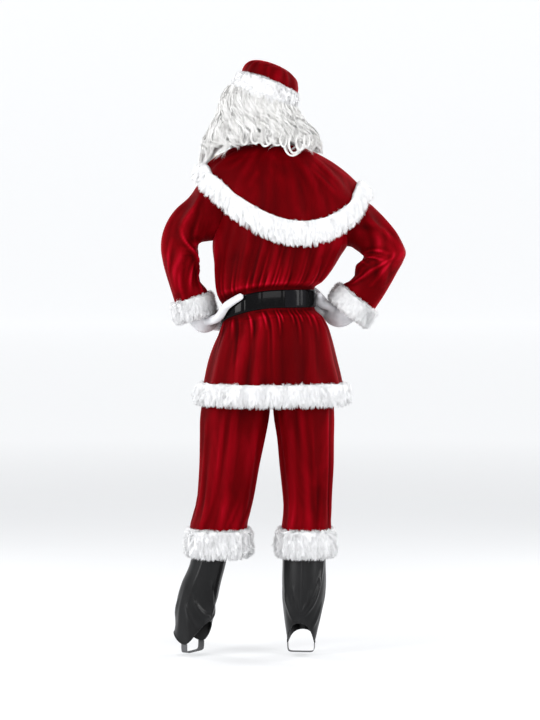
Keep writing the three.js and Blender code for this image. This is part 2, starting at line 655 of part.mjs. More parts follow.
// Wig: a waved wall of hair from under the hat band down over the neck and shoulders
const HAIR_THICK = 3;
const WIG_RINGS = table(RING, [
  [1582, -26, -14, 178, 112, 2.2, 0],
  [1608, -25, -12, 170, 110, 2.2, 0],
  [1645, -22, -8, 146, 108, 2.2, -0.05],
  [1682, -23, -2, 124, 106, 2.1, -0.15],
  [1716, -26, 0, 113, 107, 2.1, -0.28],
  [1748, -20, 0, 100, 106, 2, -0.37],
  [1776, -18, 0, 92, 100, 2, -0.38]]);
const WIG_WAVES = Array.from({ length: 13 }, (_, i) => ({
  angle: -210 + i * 20, from: -2.5, to: 5.2, depth: 8 + 4 * Math.sin(i * 2.3),
  width: 10 + 2 * Math.cos(i * 1.7), lean: 12 * Math.sin(i * 3.1) }));
const wig = ringTube(WIG_RINGS, WIG_WAVES, 4);
const WIG_SIDE = deg(35);
const WIG_ANGLES = steps(-Math.PI - WIG_SIDE, WIG_SIDE, 28);
const hatGrown = join([filled(hat, [-0.1, 2, 3, 4, 5, 6], HAT_ANGLES, 2 * REST_GAP),
  furBand(hat, 0, 2, HAT_ANGLES, 18), furBand(hat, 0, 2, HAT_ANGLES, 18 + SEAM)]);
const STRIP_ROWS = [3.4, 3.8];
const wigWall = wall(wig, [0, 1, 2, ...STRIP_ROWS, 5], WIG_ANGLES, { thick: HAIR_THICK });
piece('wig_back', solid(wigWall).subtract(hatGrown), HAIR);

// A tapered tube through points, four-sided for locks
function tube(points, radii, sides) {
  const loops = points.map((point, i) => {
    const before = points[Math.max(i - 1, 0)];
    const after = points[Math.min(i + 1, points.length - 1)];
    const along = after.clone().sub(before).normalize();
    const side = vec(0, 0, 1).cross(along);
    if (side.length() < 0.2) side.set(0, 1, 0).cross(along);
    side.normalize();
    const up = along.clone().cross(side);
    return Array.from({ length: sides }, (_, k) => {
      const turn = ((k + 0.5) / sides) * FULL;
      return point.clone().addScaledVector(side, Math.cos(turn) * radii[i])
        .addScaledVector(up, Math.sin(turn) * radii[i]);
    });
  });
  return loft(loops, false);
}

// Curled locks hang from a narrow strip under the hat band
const LOCKS = 16;
const LOCK_RADII = [5, 11, 12, 10, 7, 3];
const LOCK_OUT = [5, 17, 20, 21, 20, 17];
function lock(i) {
  const start = -204 + (i * 228) / (LOCKS - 1);
  const reach = 4.75 + 0.35 * Math.sin(i * 2.7);
  return tube(LOCK_RADII.map((_, k) => {
    const t = k / (LOCK_RADII.length - 1);
    const a = deg(start + 5 * Math.sin(i * 1.9 + t * 7) * t);
    const out = LOCK_OUT[k] + 4 * Math.sin(i + t * 9) * t;
    return wig.at(3.65 - reach * t, a, out);
  }), LOCK_RADII, 4);
}
const strip = wall(wig, STRIP_ROWS, WIG_ANGLES.slice(1, -1), {
  out: REST_GAP + HAIR_THICK + 4, thick: HAIR_THICK + 4 });
const locks = Array.from({ length: LOCKS }, (_, i) => lock(i));
const wigGrown = solid(wall(wig, [-0.05, 0, 1, 2, ...STRIP_ROWS, 5], WIG_ANGLES, {
  out: SEAM, thick: HAIR_THICK + 2 * SEAM }));
piece('wig_locks', join([strip, ...locks]).subtract(hatGrown).subtract(wigGrown), HAIR);

// Beard: a plain waved plate of hair hanging from the cheeks over the cape
const BEARD_ROWS = table(['z', 'cx', 'half', 'front', 'curve'], [
  [1456, 14, 40, 170, 7],
  [1484, 10, 64, 165, 11],
  [1530, 2, 84, 156, 18],
  [1590, -10, 98, 133, 42],
  [1650, -22, 95, 118, 38],
  [1690, -26, 80, 108, 42]]);
const BEARD_THICK = 6;
const beard = surface((s, a) => {
  const row = rowAt(BEARD_ROWS, s);
  const across = 1 - a / QUARTER;
  const wave = 4 * Math.sin(across * 14 + s) * Math.min(1, Math.max(0, 5 - s));
  return vec(row.cx + row.half * Math.sin(across * QUARTER),
    row.front - row.curve * across * across + wave, row.z);
});
piece('beard', wall(beard, [0, 1, 2, 3, 4, 5], steps(0, Math.PI, 14), {
  thick: BEARD_THICK }), HAIR);

// Gloves: palm, fingers and thumb as joined tubes, hollow from the wrist
const GLOVE = ['x', 'y', 'z', 'radius'];
const KNIT_THICK = 1.8;
const GLOVES = [
  { side: 'left', fingers: [158, 144, 128], thumbRoot: [-194, 2, 1054, 16],
    thumb: table(['angle', 'rise', 'radius'], [[-163, -16, 14], [-147, 8, 13], [-129, 24, 11]]),
    palm: table(GLOVE, [
      [-250, 2, 1122, 30],
      [-234, 9, 1082, 33],
      [-213, 24, 1050, 34],
      [-197, 48, 1046, 31],
      [-182, 72, 1050, 24]]) },
  { side: 'right', fingers: [22, 36, 54], thumbRoot: [206, 22, 1090, 16],
    thumb: table(['angle', 'rise', 'radius'], [[7, -12, 14], [2, 0, 13], [-3, 9, 10]]),
    palm: table(GLOVE, [
      [272, 4, 1120, 30],
      [250, 11, 1086, 33],
      [224, 28, 1068, 36],
      [204, 52, 1068, 34],
      [188, 76, 1072, 25]]) }];
const FINGER_RADII = [12, 11, 10, 7];
const FINGER_RISES = [25, 8, -9, -25];
const FINGER_REST = 1.2;

function glove({ fingers, palm, thumb, thumbRoot }) {
  const points = palm.map((row) => vec(row.x, row.y, row.z));
  const radii = palm.map((row) => row.radius);
  const near = points[points.length - 1];
  const outside = (radius) => BELT_OUT + radius + FINGER_REST;
  const digits = FINGER_RISES.map((rise) => {
    const along = fingers.map((angle, k) => (
      belt.at(rise, deg(angle), outside(FINGER_RADII[k + 1]))));
    const root = near.clone().add(vec(0, -8, rise * 0.7));
    return tube([root, ...along], FINGER_RADII, 6);
  });
  const [x, y, z, rootRadius] = thumbRoot;
  const thumbPoints = thumb.map((row) => belt.at(row.rise, deg(row.angle), outside(row.radius)));
  const thumbTube = tube([vec(x, y, z), ...thumbPoints],
    [rootRadius, ...thumb.map((row) => row.radius)], 6);
  const open = points[0].clone().multiplyScalar(2).sub(points[1]);
  const hollow = tube([open, ...points.slice(0, -1)],
    [radii[0], ...radii.slice(0, -1)].map((radius) => radius - KNIT_THICK), 8);
  return join([tube(points, radii, 8), ...digits, thumbTube]).subtract(solid(hollow));
}
GLOVES.forEach((hand) => piece(`glove_${hand.side}`, glove(hand), KNIT));

export default costume;
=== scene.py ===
"""A worn Santa costume set in plain studio light. Each cloth piece is a thin shell on its solid's
form, with velvet nap, fur trims, waved hair, glossy vinyl, satin boot covers and knit gloves."""
import math

import bpy
import numpy as np
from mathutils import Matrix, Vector
from mathutils.bvhtree import BVHTree


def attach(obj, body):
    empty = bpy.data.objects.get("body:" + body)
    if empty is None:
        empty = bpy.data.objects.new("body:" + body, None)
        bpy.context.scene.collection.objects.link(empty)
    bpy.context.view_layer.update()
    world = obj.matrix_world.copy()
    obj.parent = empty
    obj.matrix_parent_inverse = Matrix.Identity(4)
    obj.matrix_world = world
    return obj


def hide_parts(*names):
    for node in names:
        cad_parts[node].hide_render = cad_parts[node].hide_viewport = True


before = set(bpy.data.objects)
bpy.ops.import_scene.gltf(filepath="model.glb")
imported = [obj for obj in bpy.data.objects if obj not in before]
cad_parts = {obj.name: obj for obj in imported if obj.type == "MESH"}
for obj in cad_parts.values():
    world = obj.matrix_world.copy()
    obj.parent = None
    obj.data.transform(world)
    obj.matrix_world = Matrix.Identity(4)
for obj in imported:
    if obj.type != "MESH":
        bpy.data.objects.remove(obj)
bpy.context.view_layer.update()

# The tables are in millimetres above the ground, as in the part's source
MM = 0.001
HOLD = np.array([0.0, 0.0, 1500.0])
REST_GAP = 0.6
CLOTH = 2.0
FULL = 2 * math.pi
QUARTER = math.pi / 2


def to_row(points):
    """Millimetres above the ground to metres in the row frame."""
    return (np.asarray(points, float) - HOLD) * MM


# Forms


def rows_at(rows, s):
    """A table's row at fractional row numbers, all columns by one smooth cubic."""
    last = len(rows) - 1
    i = np.clip(np.floor(s).astype(int), 0, last - 1)
    t = (s - i)[..., None]

    def pick(k):
        return rows[np.clip(k, 0, last)]

    a, b, c, d = pick(i - 1), pick(i), pick(i + 1), pick(i + 2)
    t2, t3 = t * t, t * t * t
    return (b * (2 * t3 - 3 * t2 + 1) + (c - a) / 2 * (t3 - 2 * t2 + t)
            + c * (3 * t2 - 2 * t3) + (d - b) / 2 * (t3 - t2))


def oval_radius(angle, half_width, half_depth, power):
    """Radius of a rounded oval, square-ish where power is over 2."""
    c = np.abs(np.cos(angle)) / half_width
    s = np.abs(np.sin(angle)) / half_depth
    return (c ** power + s ** power) ** (-1 / power)


def bell(t):
    return np.where(np.abs(t) < 1, (1 + np.cos(np.pi * np.clip(t, -1, 1))) / 2, 0)


def unit(v):
    return v / np.maximum(np.linalg.norm(v, axis=-1, keepdims=True), 1e-9)


def turn_between(a, b):
    return np.arctan2(np.sin(a - b), np.cos(a - b))


def fold_depth(folds, angle, s):
    """Depth of all folds: each is a soft ridge or trough along a line."""
    total = np.zeros(np.broadcast(angle, s).shape)
    for line, start, end, depth, width, lean in folds:
        along = (s - start) / (end - start)
        within = (along > 0) & (along < 1)
        along = np.where(within, along, 0.5)
        centre = np.radians(line + lean * (along - 0.5))
        across = turn_between(angle, centre) / math.radians(width)
        total += np.where(within, depth * bell(across) * np.sin(np.pi * along) ** 0.7, 0)
    return total


class Surface:
    """A form base(s, a) of row number and angle; at() moves its points out along the normal."""

    def __init__(self, base):
        self.base = base
        one, zero = np.array(1.0), np.array(0.0)
        middle = (base(one, zero) + base(one, np.array(math.pi))) / 2
        self.sign = np.sign(np.dot(self.cross(one, zero), base(one, zero) - middle))

    def cross(self, s, a):
        e = 0.01
        along = self.base(s + e, a) - self.base(s - e, a)
        around = self.base(s, a + e) - self.base(s, a - e)
        return unit(np.cross(around, along))

    def at(self, s, a, out=0.0):
        s, a = np.broadcast_arrays(np.asarray(s, float), np.asarray(a, float))
        lift = np.asarray(out, float)[..., None]
        return self.base(s, a) + self.cross(s, a) * self.sign * lift


def ring_surface(rings, folds, base_depth, drop=None):
    """Level rings (z, cx, cy, width, depth, power, tilt) with folds."""
    def base(s, a):
        z, cx, cy, width, depth, power, tilt = np.moveaxis(rows_at(rings, s), -1, 0)
        reach = oval_radius(a, width, depth, power) + fold_depth(folds, a, s) - base_depth
        x, y = np.cos(a) * reach, np.sin(a) * reach
        height = z + tilt * x - (drop(a, z) if drop else 0)
        return np.stack([cx + x, cy + y, height], -1)
    return Surface(base)


def table(*rows):
    return np.array(rows, float)


WAIST = 1124
WAIST_ROW = 7
BELT_DROP = 74
BELT_LOW_SIDE = math.radians(140)
DROP_REACH = 120
FOLD_BASE = 3
JACKET_RINGS = table(
    [806, 6, 0, 222, 174, 2.2, 0], [864, 9, 0, 214, 166, 2.2, 0],
    [930, 8, 0, 200, 156, 2.2, 0], [990, 9, 0, 185, 147, 2.3, 0],
    [1036, 9, 0, 172, 136, 2.4, 0], [1068, 4, 0, 161, 126, 2.4, 0],
    [1091, -5, 0, 147, 115, 2.4, 0], [1124, -5, 0, 147, 115, 2.4, 0],
    [1157, -5, 0, 147, 115, 2.4, 0], [1176, 1, 0, 165, 130, 2.4, 0],
    [1206, 10, 0, 181, 139, 2.4, 0], [1252, 22, 0, 199, 144, 2.4, 0],
    [1302, 34, 0, 216, 148, 2.4, 0], [1372, 42, 0, 208, 148, 2.4, -0.06],
    [1442, 45, 0, 200, 138, 2.3, -0.13], [1500, 44, 0, 194, 118, 2.3, -0.17],
    [1542, 38, 0, 156, 100, 2.2, -0.16], [1572, 26, 0, 104, 86, 2.1, -0.12],
    [1598, 18, 0, 82, 77, 2, -0.08])

# Folds are angle, first and last row, depth, width and lean. The solid has these too
JACKET_FOLDS = [
    (-172, -4, 5.9, 9, 11, 8), (-150, -4, 5.8, 13, 11, 12), (-127, -4, 5.2, 10, 10, 10),
    (-108, -4, 5.9, 14, 10, 8), (-88, -4, 5.0, 5, 10, 2), (-68, -4, 5.8, 6, 12, -8),
    (-46, -4, 5.4, 6, 10, -9), (-24, -4, 5.9, 14, 12, -10), (-3, -4, 5.2, 9, 10, -6),
    (28, -4, 5.6, 11, 13, -5), (62, -4, 5.4, 10, 13, -3), (118, -4, 5.4, 10, 13, 4),
    (150, -4, 5.7, 12, 12, 6), (-166, 8.2, 12.5, 9, 9, 16), (-146, 8.1, 13.6, 8, 8, 14),
    (-127, 8.1, 14.5, 7, 7, 10), (-110, 8.1, 13.4, 8, 7, 8), (-93, 8.1, 14.6, 7, 7, 2),
    (-76, 8.1, 13.6, 8, 7, -4), (-60, 8.1, 14.4, 7, 7, -10), (-43, 8.1, 13.4, 9, 8, -14),
    (-22, 8.2, 12.6, 9, 9, -18), (20, 8.2, 12.4, 8, 10, -12), (52, 8.2, 13.0, 8, 10, -8),
    (128, 8.2, 13.0, 8, 10, 8), (158, 8.2, 12.4, 8, 10, 12)]

# Finer creases that only the looks have: gathers above and below the belt, long soft troughs
JACKET_CREASES = [
    (-157, 7.9, 10.8, 3.5, 3.4, 5), (-151, 7.9, 12.0, -3, 3.6, 6), (-139, 7.9, 11.2, 3.5, 3.0, 5),
    (-133, 7.9, 13.4, 3, 3.2, 6), (-120, 7.9, 10.4, 3.5, 3.0, 4), (-114, 7.9, 12.4, -3, 3.0, 3),
    (-103, 7.9, 11.6, 3.5, 2.8, 3), (-98, 7.9, 10.2, -3, 2.6, 1), (-86, 7.9, 12.8, 3, 2.8, 0),
    (-81, 7.9, 10.6, 3.5, 2.6, -2), (-70, 7.9, 11.8, 3.5, 3.0, -4), (-65, 7.9, 10.3, -3, 2.8, -4),
    (-54, 7.9, 12.2, 3.5, 3.0, -6), (-48, 7.9, 13.6, -3, 3.2, -8), (-36, 7.9, 11.0, 4, 3.4, -8),
    (-30, 7.9, 13.0, 3, 3.4, -10), (-12, 7.9, 11.6, 3.5, 4.0, -10), (4, 7.9, 11.0, 3.5, 4.5, -8),
    (36, 7.9, 11.4, 3.5, 4.5, -6), (70, 7.9, 11.8, 3.5, 4.5, -4), (84, 7.9, 10.8, -3, 4.0, 2),
    (104, 7.9, 11.8, 3.5, 4.5, 4), (142, 7.9, 11.0, 3.5, 4.5, 6), (172, 7.9, 11.6, 3.5, 4.0, 8),
    (-160, 2.0, 6.1, 3.5, 4.0, -6), (-141, 3.2, 6.1, 3, 3.4, -4), (-134, 0.6, 6.1, -3.5, 4.0, -8),
    (-117, 2.6, 6.1, 3.5, 3.2, -6), (-99, 3.8, 6.1, 3, 3.0, -2), (-93, 1.0, 6.1, -3.5, 3.6, -4),
    (-80, 3.4, 6.1, 3.5, 3.0, 2), (-75, 4.4, 6.1, 3, 2.6, 1), (-61, 4.2, 6.1, 3, 2.8, 2),
    (-56, 2.8, 6.1, 3, 3.2, 3), (-50, 4.4, 6.1, 3.5, 2.6, 2), (-40, 4.0, 6.1, 3, 3.0, 3),
    (-34, 3.0, 6.1, 3, 3.2, 4), (-12, 3.6, 6.1, 3, 3.6, 4), (12, 3.2, 6.1, 3, 4.4, 3),
    (45, 2.4, 6.1, 3, 4.6, 2), (80, 3.0, 6.1, 3, 4.6, 0), (98, 2.6, 6.1, 3, 4.6, -2),
    (134, 3.0, 6.1, 3, 4.6, -3), (166, 2.4, 6.1, 3, 4.6, -4)]


def waist_drop(angle, z):
    side = ((1 + np.cos(angle - BELT_LOW_SIDE)) / 2) ** 2
    return BELT_DROP * side * np.exp(-(((z - WAIST) / DROP_REACH) ** 2))


def eased(folds, share):
    """The same folds, shallower."""
    return [(line, start, end, depth * share, width, lean)
            for line, start, end, depth, width, lean in folds]


# The velvet's folds are rounder than the solid's
FOLD_SHARE = 0.72
CREASE_SHARE = 0.55
jacket = ring_surface(JACKET_RINGS, eased(JACKET_FOLDS, FOLD_SHARE)
                      + eased(JACKET_CREASES, CREASE_SHARE), FOLD_BASE, waist_drop)
jacket_plain = ring_surface(JACKET_RINGS, JACKET_FOLDS, FOLD_BASE, waist_drop)

# Sleeves: outer and inner edge as seen from behind, then depth
ARMS = {
    "left": table(
        [-118, 1560, -150, 1304, 0, 82], [-165, 1540, -184, 1300, 0, 86],
        [-212, 1500, -200, 1298, -3, 84], [-250, 1440, -212, 1296, -8, 78],
        [-298, 1392, -218, 1294, -14, 72], [-330, 1336, -221, 1286, -22, 68],
        [-341, 1284, -223, 1266, -28, 66], [-336, 1240, -226, 1237, -26, 64],
        [-327, 1202, -226, 1206, -18, 62], [-314, 1158, -216, 1176, -8, 60],
        [-300, 1111, -192, 1144, 2, 58], [-286, 1056, -184, 1088, 12, 56]),
    "right": table(
        [196, 1500, 214, 1284, 0, 82], [246, 1476, 250, 1282, 0, 86],
        [286, 1442, 264, 1274, -3, 84], [324, 1406, 277, 1265, -8, 78],
        [368, 1358, 286, 1258, -14, 72], [402, 1314, 289, 1252, -22, 68],
        [424, 1270, 287, 1244, -28, 66], [416, 1238, 280, 1234, -26, 66],
        [399, 1206, 270, 1220, -18, 64], [380, 1170, 262, 1196, -8, 62],
        [357, 1130, 246, 1178, 0, 60], [328, 1086, 226, 1166, 6, 60],
        [300, 1044, 196, 1124, 12, 58])}
SLEEVE_FOLDS = [
    (-95, 2.0, 6.0, 9, 26, 60), (-150, 2.5, 7.0, 8, 24, 30), (-40, 3.0, 6.4, 9, 25, -40),
    (-100, 5.6, 9.6, 9, 24, -50), (-20, 5.4, 9.0, 8, 24, 40), (150, 3.0, 8.0, 8, 26, -30),
    (70, 2.5, 8.5, 8, 26, 30)]
# Crumples at the bend of the elbow and drags along the forearm
SLEEVE_CREASES = {
    "left": [
        (-70, 4.2, 6.4, 5, 13, 70), (-45, 5.0, 7.2, 5, 12, 60), (-20, 5.6, 7.8, 5, 12, 50),
        (-8, 6.6, 8.8, 5, 12, -40), (12, 5.6, 7.4, 4, 12, 30), (-60, 6.8, 9.8, 5, 11, -50),
        (-100, 7.2, 10.4, 4.5, 11, -40), (-125, 5.2, 9.6, 4, 11, -24), (-35, 8.0, 10.2, 4, 10, -30),
        (-110, 1.6, 4.6, 4, 14, 30), (-75, 2.2, 4.8, -3.5, 14, 40), (60, 4.4, 8.4, 4, 14, -40),
        (120, 4.0, 8.8, 4, 14, 40)],
    "right": [
        (-70, 3.8, 6.0, 5, 13, -60), (-50, 4.6, 6.8, 5, 12, -70), (-25, 5.4, 7.6, 5, 12, -50),
        (-5, 6.2, 8.6, 5, 12, 40), (-80, 6.4, 9.4, 5.5, 12, 50), (-55, 7.4, 10.6, 5, 11, 46),
        (-105, 5.6, 9.8, 4.5, 11, 24), (-30, 8.4, 11.0, 4, 11, 34), (-120, 2.4, 5.8, 4, 13, -34),
        (-90, 1.4, 3.8, -3.5, 14, -30), (60, 4.4, 8.4, 4, 14, 40), (120, 4.0, 8.8, 4, 14, -40)]}


def arm(rows, folds):
    def base(s, a):
        out_x, out_z, in_x, in_z, y, deep = np.moveaxis(rows_at(rows, s), -1, 0)
        across = np.stack([(in_x - out_x) / 2, 0 * out_x, (in_z - out_z) / 2], -1)
        half = np.linalg.norm(across, axis=-1)
        reach = oval_radius(a, half, deep, 2.1) + fold_depth(folds, a, s) - 2
        point = np.stack([(in_x + out_x) / 2, y, (in_z + out_z) / 2], -1)
        point = point + across / half[..., None] * (np.cos(a) * reach)[..., None]
        point[..., 1] += np.sin(a) * reach
        return point
    return Surface(base)


# Trousers: hip rings and two legs
HIP_RINGS = table(
    [786, 0, 2, 150, 96, 2.2, 0], [822, -2, 3, 166, 122, 2.2, 0],
    [884, -2, 4, 174, 132, 2.2, 0], [950, -3, 3, 160, 124, 2.3, 0],
    [1010, -5, 0, 141, 109, 2.4, 0], [1122, -5, 0, 141.2, 109.2, 2.4, 0])
LEGS = {
    "left": table(
        [326, -160, 0, 93, 88, 2.1, 0], [404, -160, 0, 91, 88, 2.1, 0],
        [452, -150, 0, 89, 87, 2.1, 0], [508, -139, 0, 89, 88, 2.1, 0],
        [602, -127, 0, 93, 93, 2.1, 0], [686, -117, 0, 101, 99, 2.1, 0],
        [750, -110, 0, 107, 107, 2.1, 0], [800, -104, 2, 106, 116, 2.1, 0],
        [870, -96, 4, 92, 116, 2.1, 0], [950, -80, 4, 72, 100, 2.1, 0],
        [1122, -70, 0, 58, 88, 2.1, 0]),
    "right": table(
        [326, 112, 0, 83, 86, 2.1, 0], [404, 114, 0, 80, 86, 2.1, 0],
        [452, 116, 0, 77, 85, 2.1, 0], [508, 116, 0, 77, 86, 2.1, 0],
        [602, 114, 0, 83, 92, 2.1, 0], [686, 111, 0, 87, 98, 2.1, 0],
        [750, 107, 0, 93, 106, 2.1, 0], [800, 104, 2, 94, 116, 2.1, 0],
        [870, 96, 4, 88, 116, 2.1, 0], [950, 76, 4, 72, 100, 2.1, 0],
        [1122, 68, 0, 58, 88, 2.1, 0])}
LEG_FOLDS = [
    (-128, -1, 5.5, 6, 15, 12), (-92, 0.5, 8.5, 7, 14, -14), (-52, -1, 6.5, 6, 15, 10),
    (-165, 2.5, 9, 6, 16, 12), (-15, 1.5, 8, 6, 16, -10), (40, -1, 6, 6, 18, 12),
    (95, 0, 8, 6, 18, -8), (140, -1, 7, 6, 18, 8)]
LEG_CREASES = {
    "left": [
        (-150, 1.2, 6.2, 4, 8, 12), (-136, 0.4, 4.2, -3, 7, -8), (-112, 1.4, 7.4, 4, 7, 16),
        (-100, 3.2, 8.0, -3, 6, 10), (-84, 2.6, 7.8, 3.5, 7, -12), (-66, 1.0, 3.4, 3, 7, 14),
        (-40, 2.0, 5.6, 3.5, 8, -10), (-28, 0.6, 2.6, 3, 8, 22), (-176, 0.6, 3.0, 3.5, 9, 16),
        (20, 1.2, 5.0, 3, 9, 10), (70, 1.0, 6.0, 3, 9, -10), (115, 1.2, 6.4, 3, 9, 10)],
    "right": [
        (-158, 1.0, 5.0, 3, 8, 8), (-140, 3.0, 7.8, 3.5, 8, -10), (-118, 0.6, 4.4, 3, 7, 8),
        (-104, 3.8, 8.0, -3, 7, 8), (-76, 2.0, 6.6, 3.5, 7, -10), (-62, 0.6, 3.8, 3, 7, 6),
        (-44, 0.6, 7.8, 4.5, 6, -4), (-33, 1.0, 6.8, -4, 6, -4), (-22, 0.4, 4.4, 3.5, 8, 6),
        (20, 1.2, 5.0, 3, 9, -10), (70, 1.0, 6.0, 3, 9, 10), (115, 1.2, 6.4, 3, 9, -10)]}
FOLD_LEG = 2
CROTCH_X = 5
CROTCH_BLEND = 40

# Boot covers: z, centre, half length from front to back and half width
COVERS = {
    "left": (math.radians(148), table(
        [40, -243, 14, 64, 50], [90, -237, 12, 65, 50], [145, -234, 8, 67, 51],
        [190, -226, 5, 68, 54], [235, -214, 2, 64, 57], [285, -196.6, 0, 58, 57],
        [350, -182.6, 0, 57, 57], [425, -174, 0, 57, 56])),
    "right": (math.radians(84), table(
        [40, 98, 12, 66, 44], [90, 101, 10, 66, 52], [140, 103, 6, 67, 59],
        [186, 105, 4, 68, 66], [235, 106, 4, 68, 69], [285, 107, 6, 68, 69],
        [350, 108, 10, 68, 68], [425, 110, 14, 66, 66]))}
# Crease angles turn with the cover: 0 is its front, 180 its back
COVER_CREASES = {
    "left": [
        (150, 0.3, 2.8, 6, 11, -70), (132, 0.6, 3.4, 6, 10, -60), (112, 0.2, 2.6, 6, 11, -60),
        (168, 1.2, 4.2, 5, 10, -40), (95, 0.2, 3.6, 3, 12, -30), (100, 2.6, 6.6, 3, 13, 16),
        (60, 0.4, 4.0, 3, 14, 20), (20, 0.3, 2.8, 3.5, 14, 40), (-30, 0.3, 2.8, 3.5, 14, -40),
        (-150, 0.3, 3.0, 4, 13, 60), (-120, 1.0, 5.0, 3, 14, 20)],
    "right": [
        (168, 1.4, 3.8, 4, 8, -24), (-168, 1.2, 3.6, 4, 8, 24), (-148, 1.0, 4.4, 6, 10, 50),
        (-132, 2.0, 5.6, 5, 10, 44), (-122, 0.4, 2.8, 5, 10, 36), (143, 0.6, 3.4, 5, 11, -40),
        (125, 2.0, 6.4, 3, 13, -16), (90, 0.4, 3.6, 3, 14, 10), (30, 0.3, 2.8, 3.5, 14, 40),
        (-30, 0.3, 2.8, 3.5, 14, -40), (-85, 1.0, 5.0, 3, 14, 16)]}
HEEL_LIFT = 72
INSTEP_LIFT = 34
LIFT_FADE = 3

# Shoulder cape: edge points each 30 degrees, with the bend out and up of the curve to the neck
CAPE_START = -270
CAPE_STEP = 30
CAPE_EDGE = table(
    [20, 166, 1352, 50, 62], [-84, 152, 1362, 50, 58], [-176, 106, 1428, 42, 46],
    [-222, 12, 1505, 22, 30], [-198, -86, 1466, 40, 44], [-98, -148, 1375, 52, 62],
    [20, -170, 1312, 56, 70], [130, -170, 1302, 54, 66], [238, -136, 1350, 48, 56],
    [304, -20, 1442, 22, 32], [266, 104, 1408, 44, 46], [130, 154, 1358, 52, 60],
    [26, 166, 1352, 50, 62])
CAPE_NECK = {"cx": 18, "width": 80, "depth": 75, "z": 1600.4, "tilt": -0.08}
CAPE_FUR = 74
CAPE_ROWS = 6
CAPE_FOLDS = [
    (-168, -3, 4.5, 6, 10, 14), (-146, -3, 5, 8, 9, 16), (-122, -3, 5.4, 6, 8, 10),
    (-98, -3, 5.2, 5, 8, 6), (-72, -3, 5.6, 6, 9, -6), (-50, -3, 4.8, 7, 9, -12),
    (-24, -3, 5, 7, 9, -14), (40, -3, 5, 6, 10, -8), (140, -3, 5, 6, 10, 8)]
CAPE_CREASES = [
    (-157, 0.6, 4.2, 3, 6, 16), (-135, 0.8, 3.4, 3, 6, 14), (-113, 0.8, 3.0, 2.5, 5, 10),
    (-60, 0.8, 3.6, 2.5, 6, -12), (-38, 0.8, 3.8, 3.5, 4, -20), (-30, 0.8, 4.4, -2.5, 4, -16),
    (-12, 0.8, 3.8, 3, 5, -14), (15, 0.8, 4.2, 3, 6, -10), (70, 0.8, 4.2, 3, 6, -6),
    (110, 0.8, 4.2, 3, 6, 6), (165, 0.8, 4.2, 3, 6, 10)]


def cape_base(folds):
    def base(u, a):
        turn = (np.degrees(a) - CAPE_START + 720) % 360
        x, y, z, out, up = np.moveaxis(rows_at(CAPE_EDGE, turn / CAPE_STEP), -1, 0)
        reach = oval_radius(a, CAPE_NECK["width"], CAPE_NECK["depth"], 2)
        outward = np.stack([np.cos(a), np.sin(a), 0 * a], -1)
        neck = outward * reach[..., None] + [CAPE_NECK["cx"], 0, CAPE_NECK["z"]]
        neck[..., 2] += CAPE_NECK["tilt"] * (neck[..., 0] - CAPE_NECK["cx"])
        edge = np.stack([x, y, z], -1)
        rise = np.stack([0 * up, 0 * up, up], -1)
        bend = (neck + edge) / 2 + outward * out[..., None] + rise
        length = (np.linalg.norm(edge - bend, axis=-1) + np.linalg.norm(bend - neck, axis=-1)
                  + np.linalg.norm(edge - neck, axis=-1)) / 2
        above = CAPE_FUR + (u - 1) / (CAPE_ROWS - 1) * (length - CAPE_FUR)
        t = (np.where(u <= 1, u * CAPE_FUR, above) / length)[..., None]
        point = edge * (1 - t) ** 2 + bend * 2 * t * (1 - t) + neck * t * t
        return point + outward * fold_depth(folds, a, u)[..., None]
    return base


cape = Surface(cape_base(CAPE_FOLDS + CAPE_CREASES))
cape_plain = Surface(cape_base(CAPE_FOLDS))

# Hat: rings in its own tilted frame, the last one closes the crown
HAT_CENTRE = np.array([-17.0, 0.0, 1757.0])
HAT_TURN = (math.radians(-6), math.radians(21))
HAT_RINGS = table(
    [-30, 0, 0, 96, 104, 2, 0], [0, 0, 0, 95, 104, 2, 0], [34, 1, 0, 94, 102, 2, 0],
    [58, 0, -2, 91, 97, 2.1, 0], [77, -2, -4, 78, 84, 2.1, 0], [90, -4, -6, 50, 56, 2, 0],
    [95, -6, -8, 16, 18, 2, 0], [95.5, -6, -8, 2.6, 2.6, 2, 0])
HAT_FOLDS = [
    (-150, 1.2, 6, 5, 16, 20), (-112, 1.2, 5.6, 4, 13, -10), (-74, 1.2, 6, 5, 14, 12),
    (-34, 1.2, 5.8, 5, 16, -16), (20, 1.2, 5.8, 5, 18, 10), (80, 1.2, 5.8, 5, 18, -10),
    (140, 1.2, 5.8, 5, 18, 10)]
HAT_CREASES = [
    (-165, 1.6, 5.0, 3, 7, 14), (-132, 1.6, 5.4, 3, 7, 12), (-96, 1.6, 4.6, 3, 6, -10),
    (-58, 1.6, 5.4, 3, 7, -14), (-16, 1.6, 5.0, 3, 7, 10), (50, 1.6, 5.0, 3, 8, -10),
    (110, 1.6, 5.0, 3, 8, 10), (-84, 3.2, 6.2, -2.5, 8, 60)]


def hat_surface(folds):
    local = ring_surface(HAT_RINGS, folds, 2)
    tip, lean = HAT_TURN
    turn_x = np.array([[1, 0, 0], [0, math.cos(tip), -math.sin(tip)],
                       [0, math.sin(tip), math.cos(tip)]])
    turn_y = np.array([[math.cos(lean), 0, math.sin(lean)], [0, 1, 0],
                       [-math.sin(lean), 0, math.cos(lean)]])
    turn = turn_x @ turn_y
    return Surface(lambda s, a: local.base(s, a) @ turn.T + HAT_CENTRE)


hat = hat_surface(HAT_FOLDS + HAT_CREASES)
hat_plain = hat_surface(HAT_FOLDS)

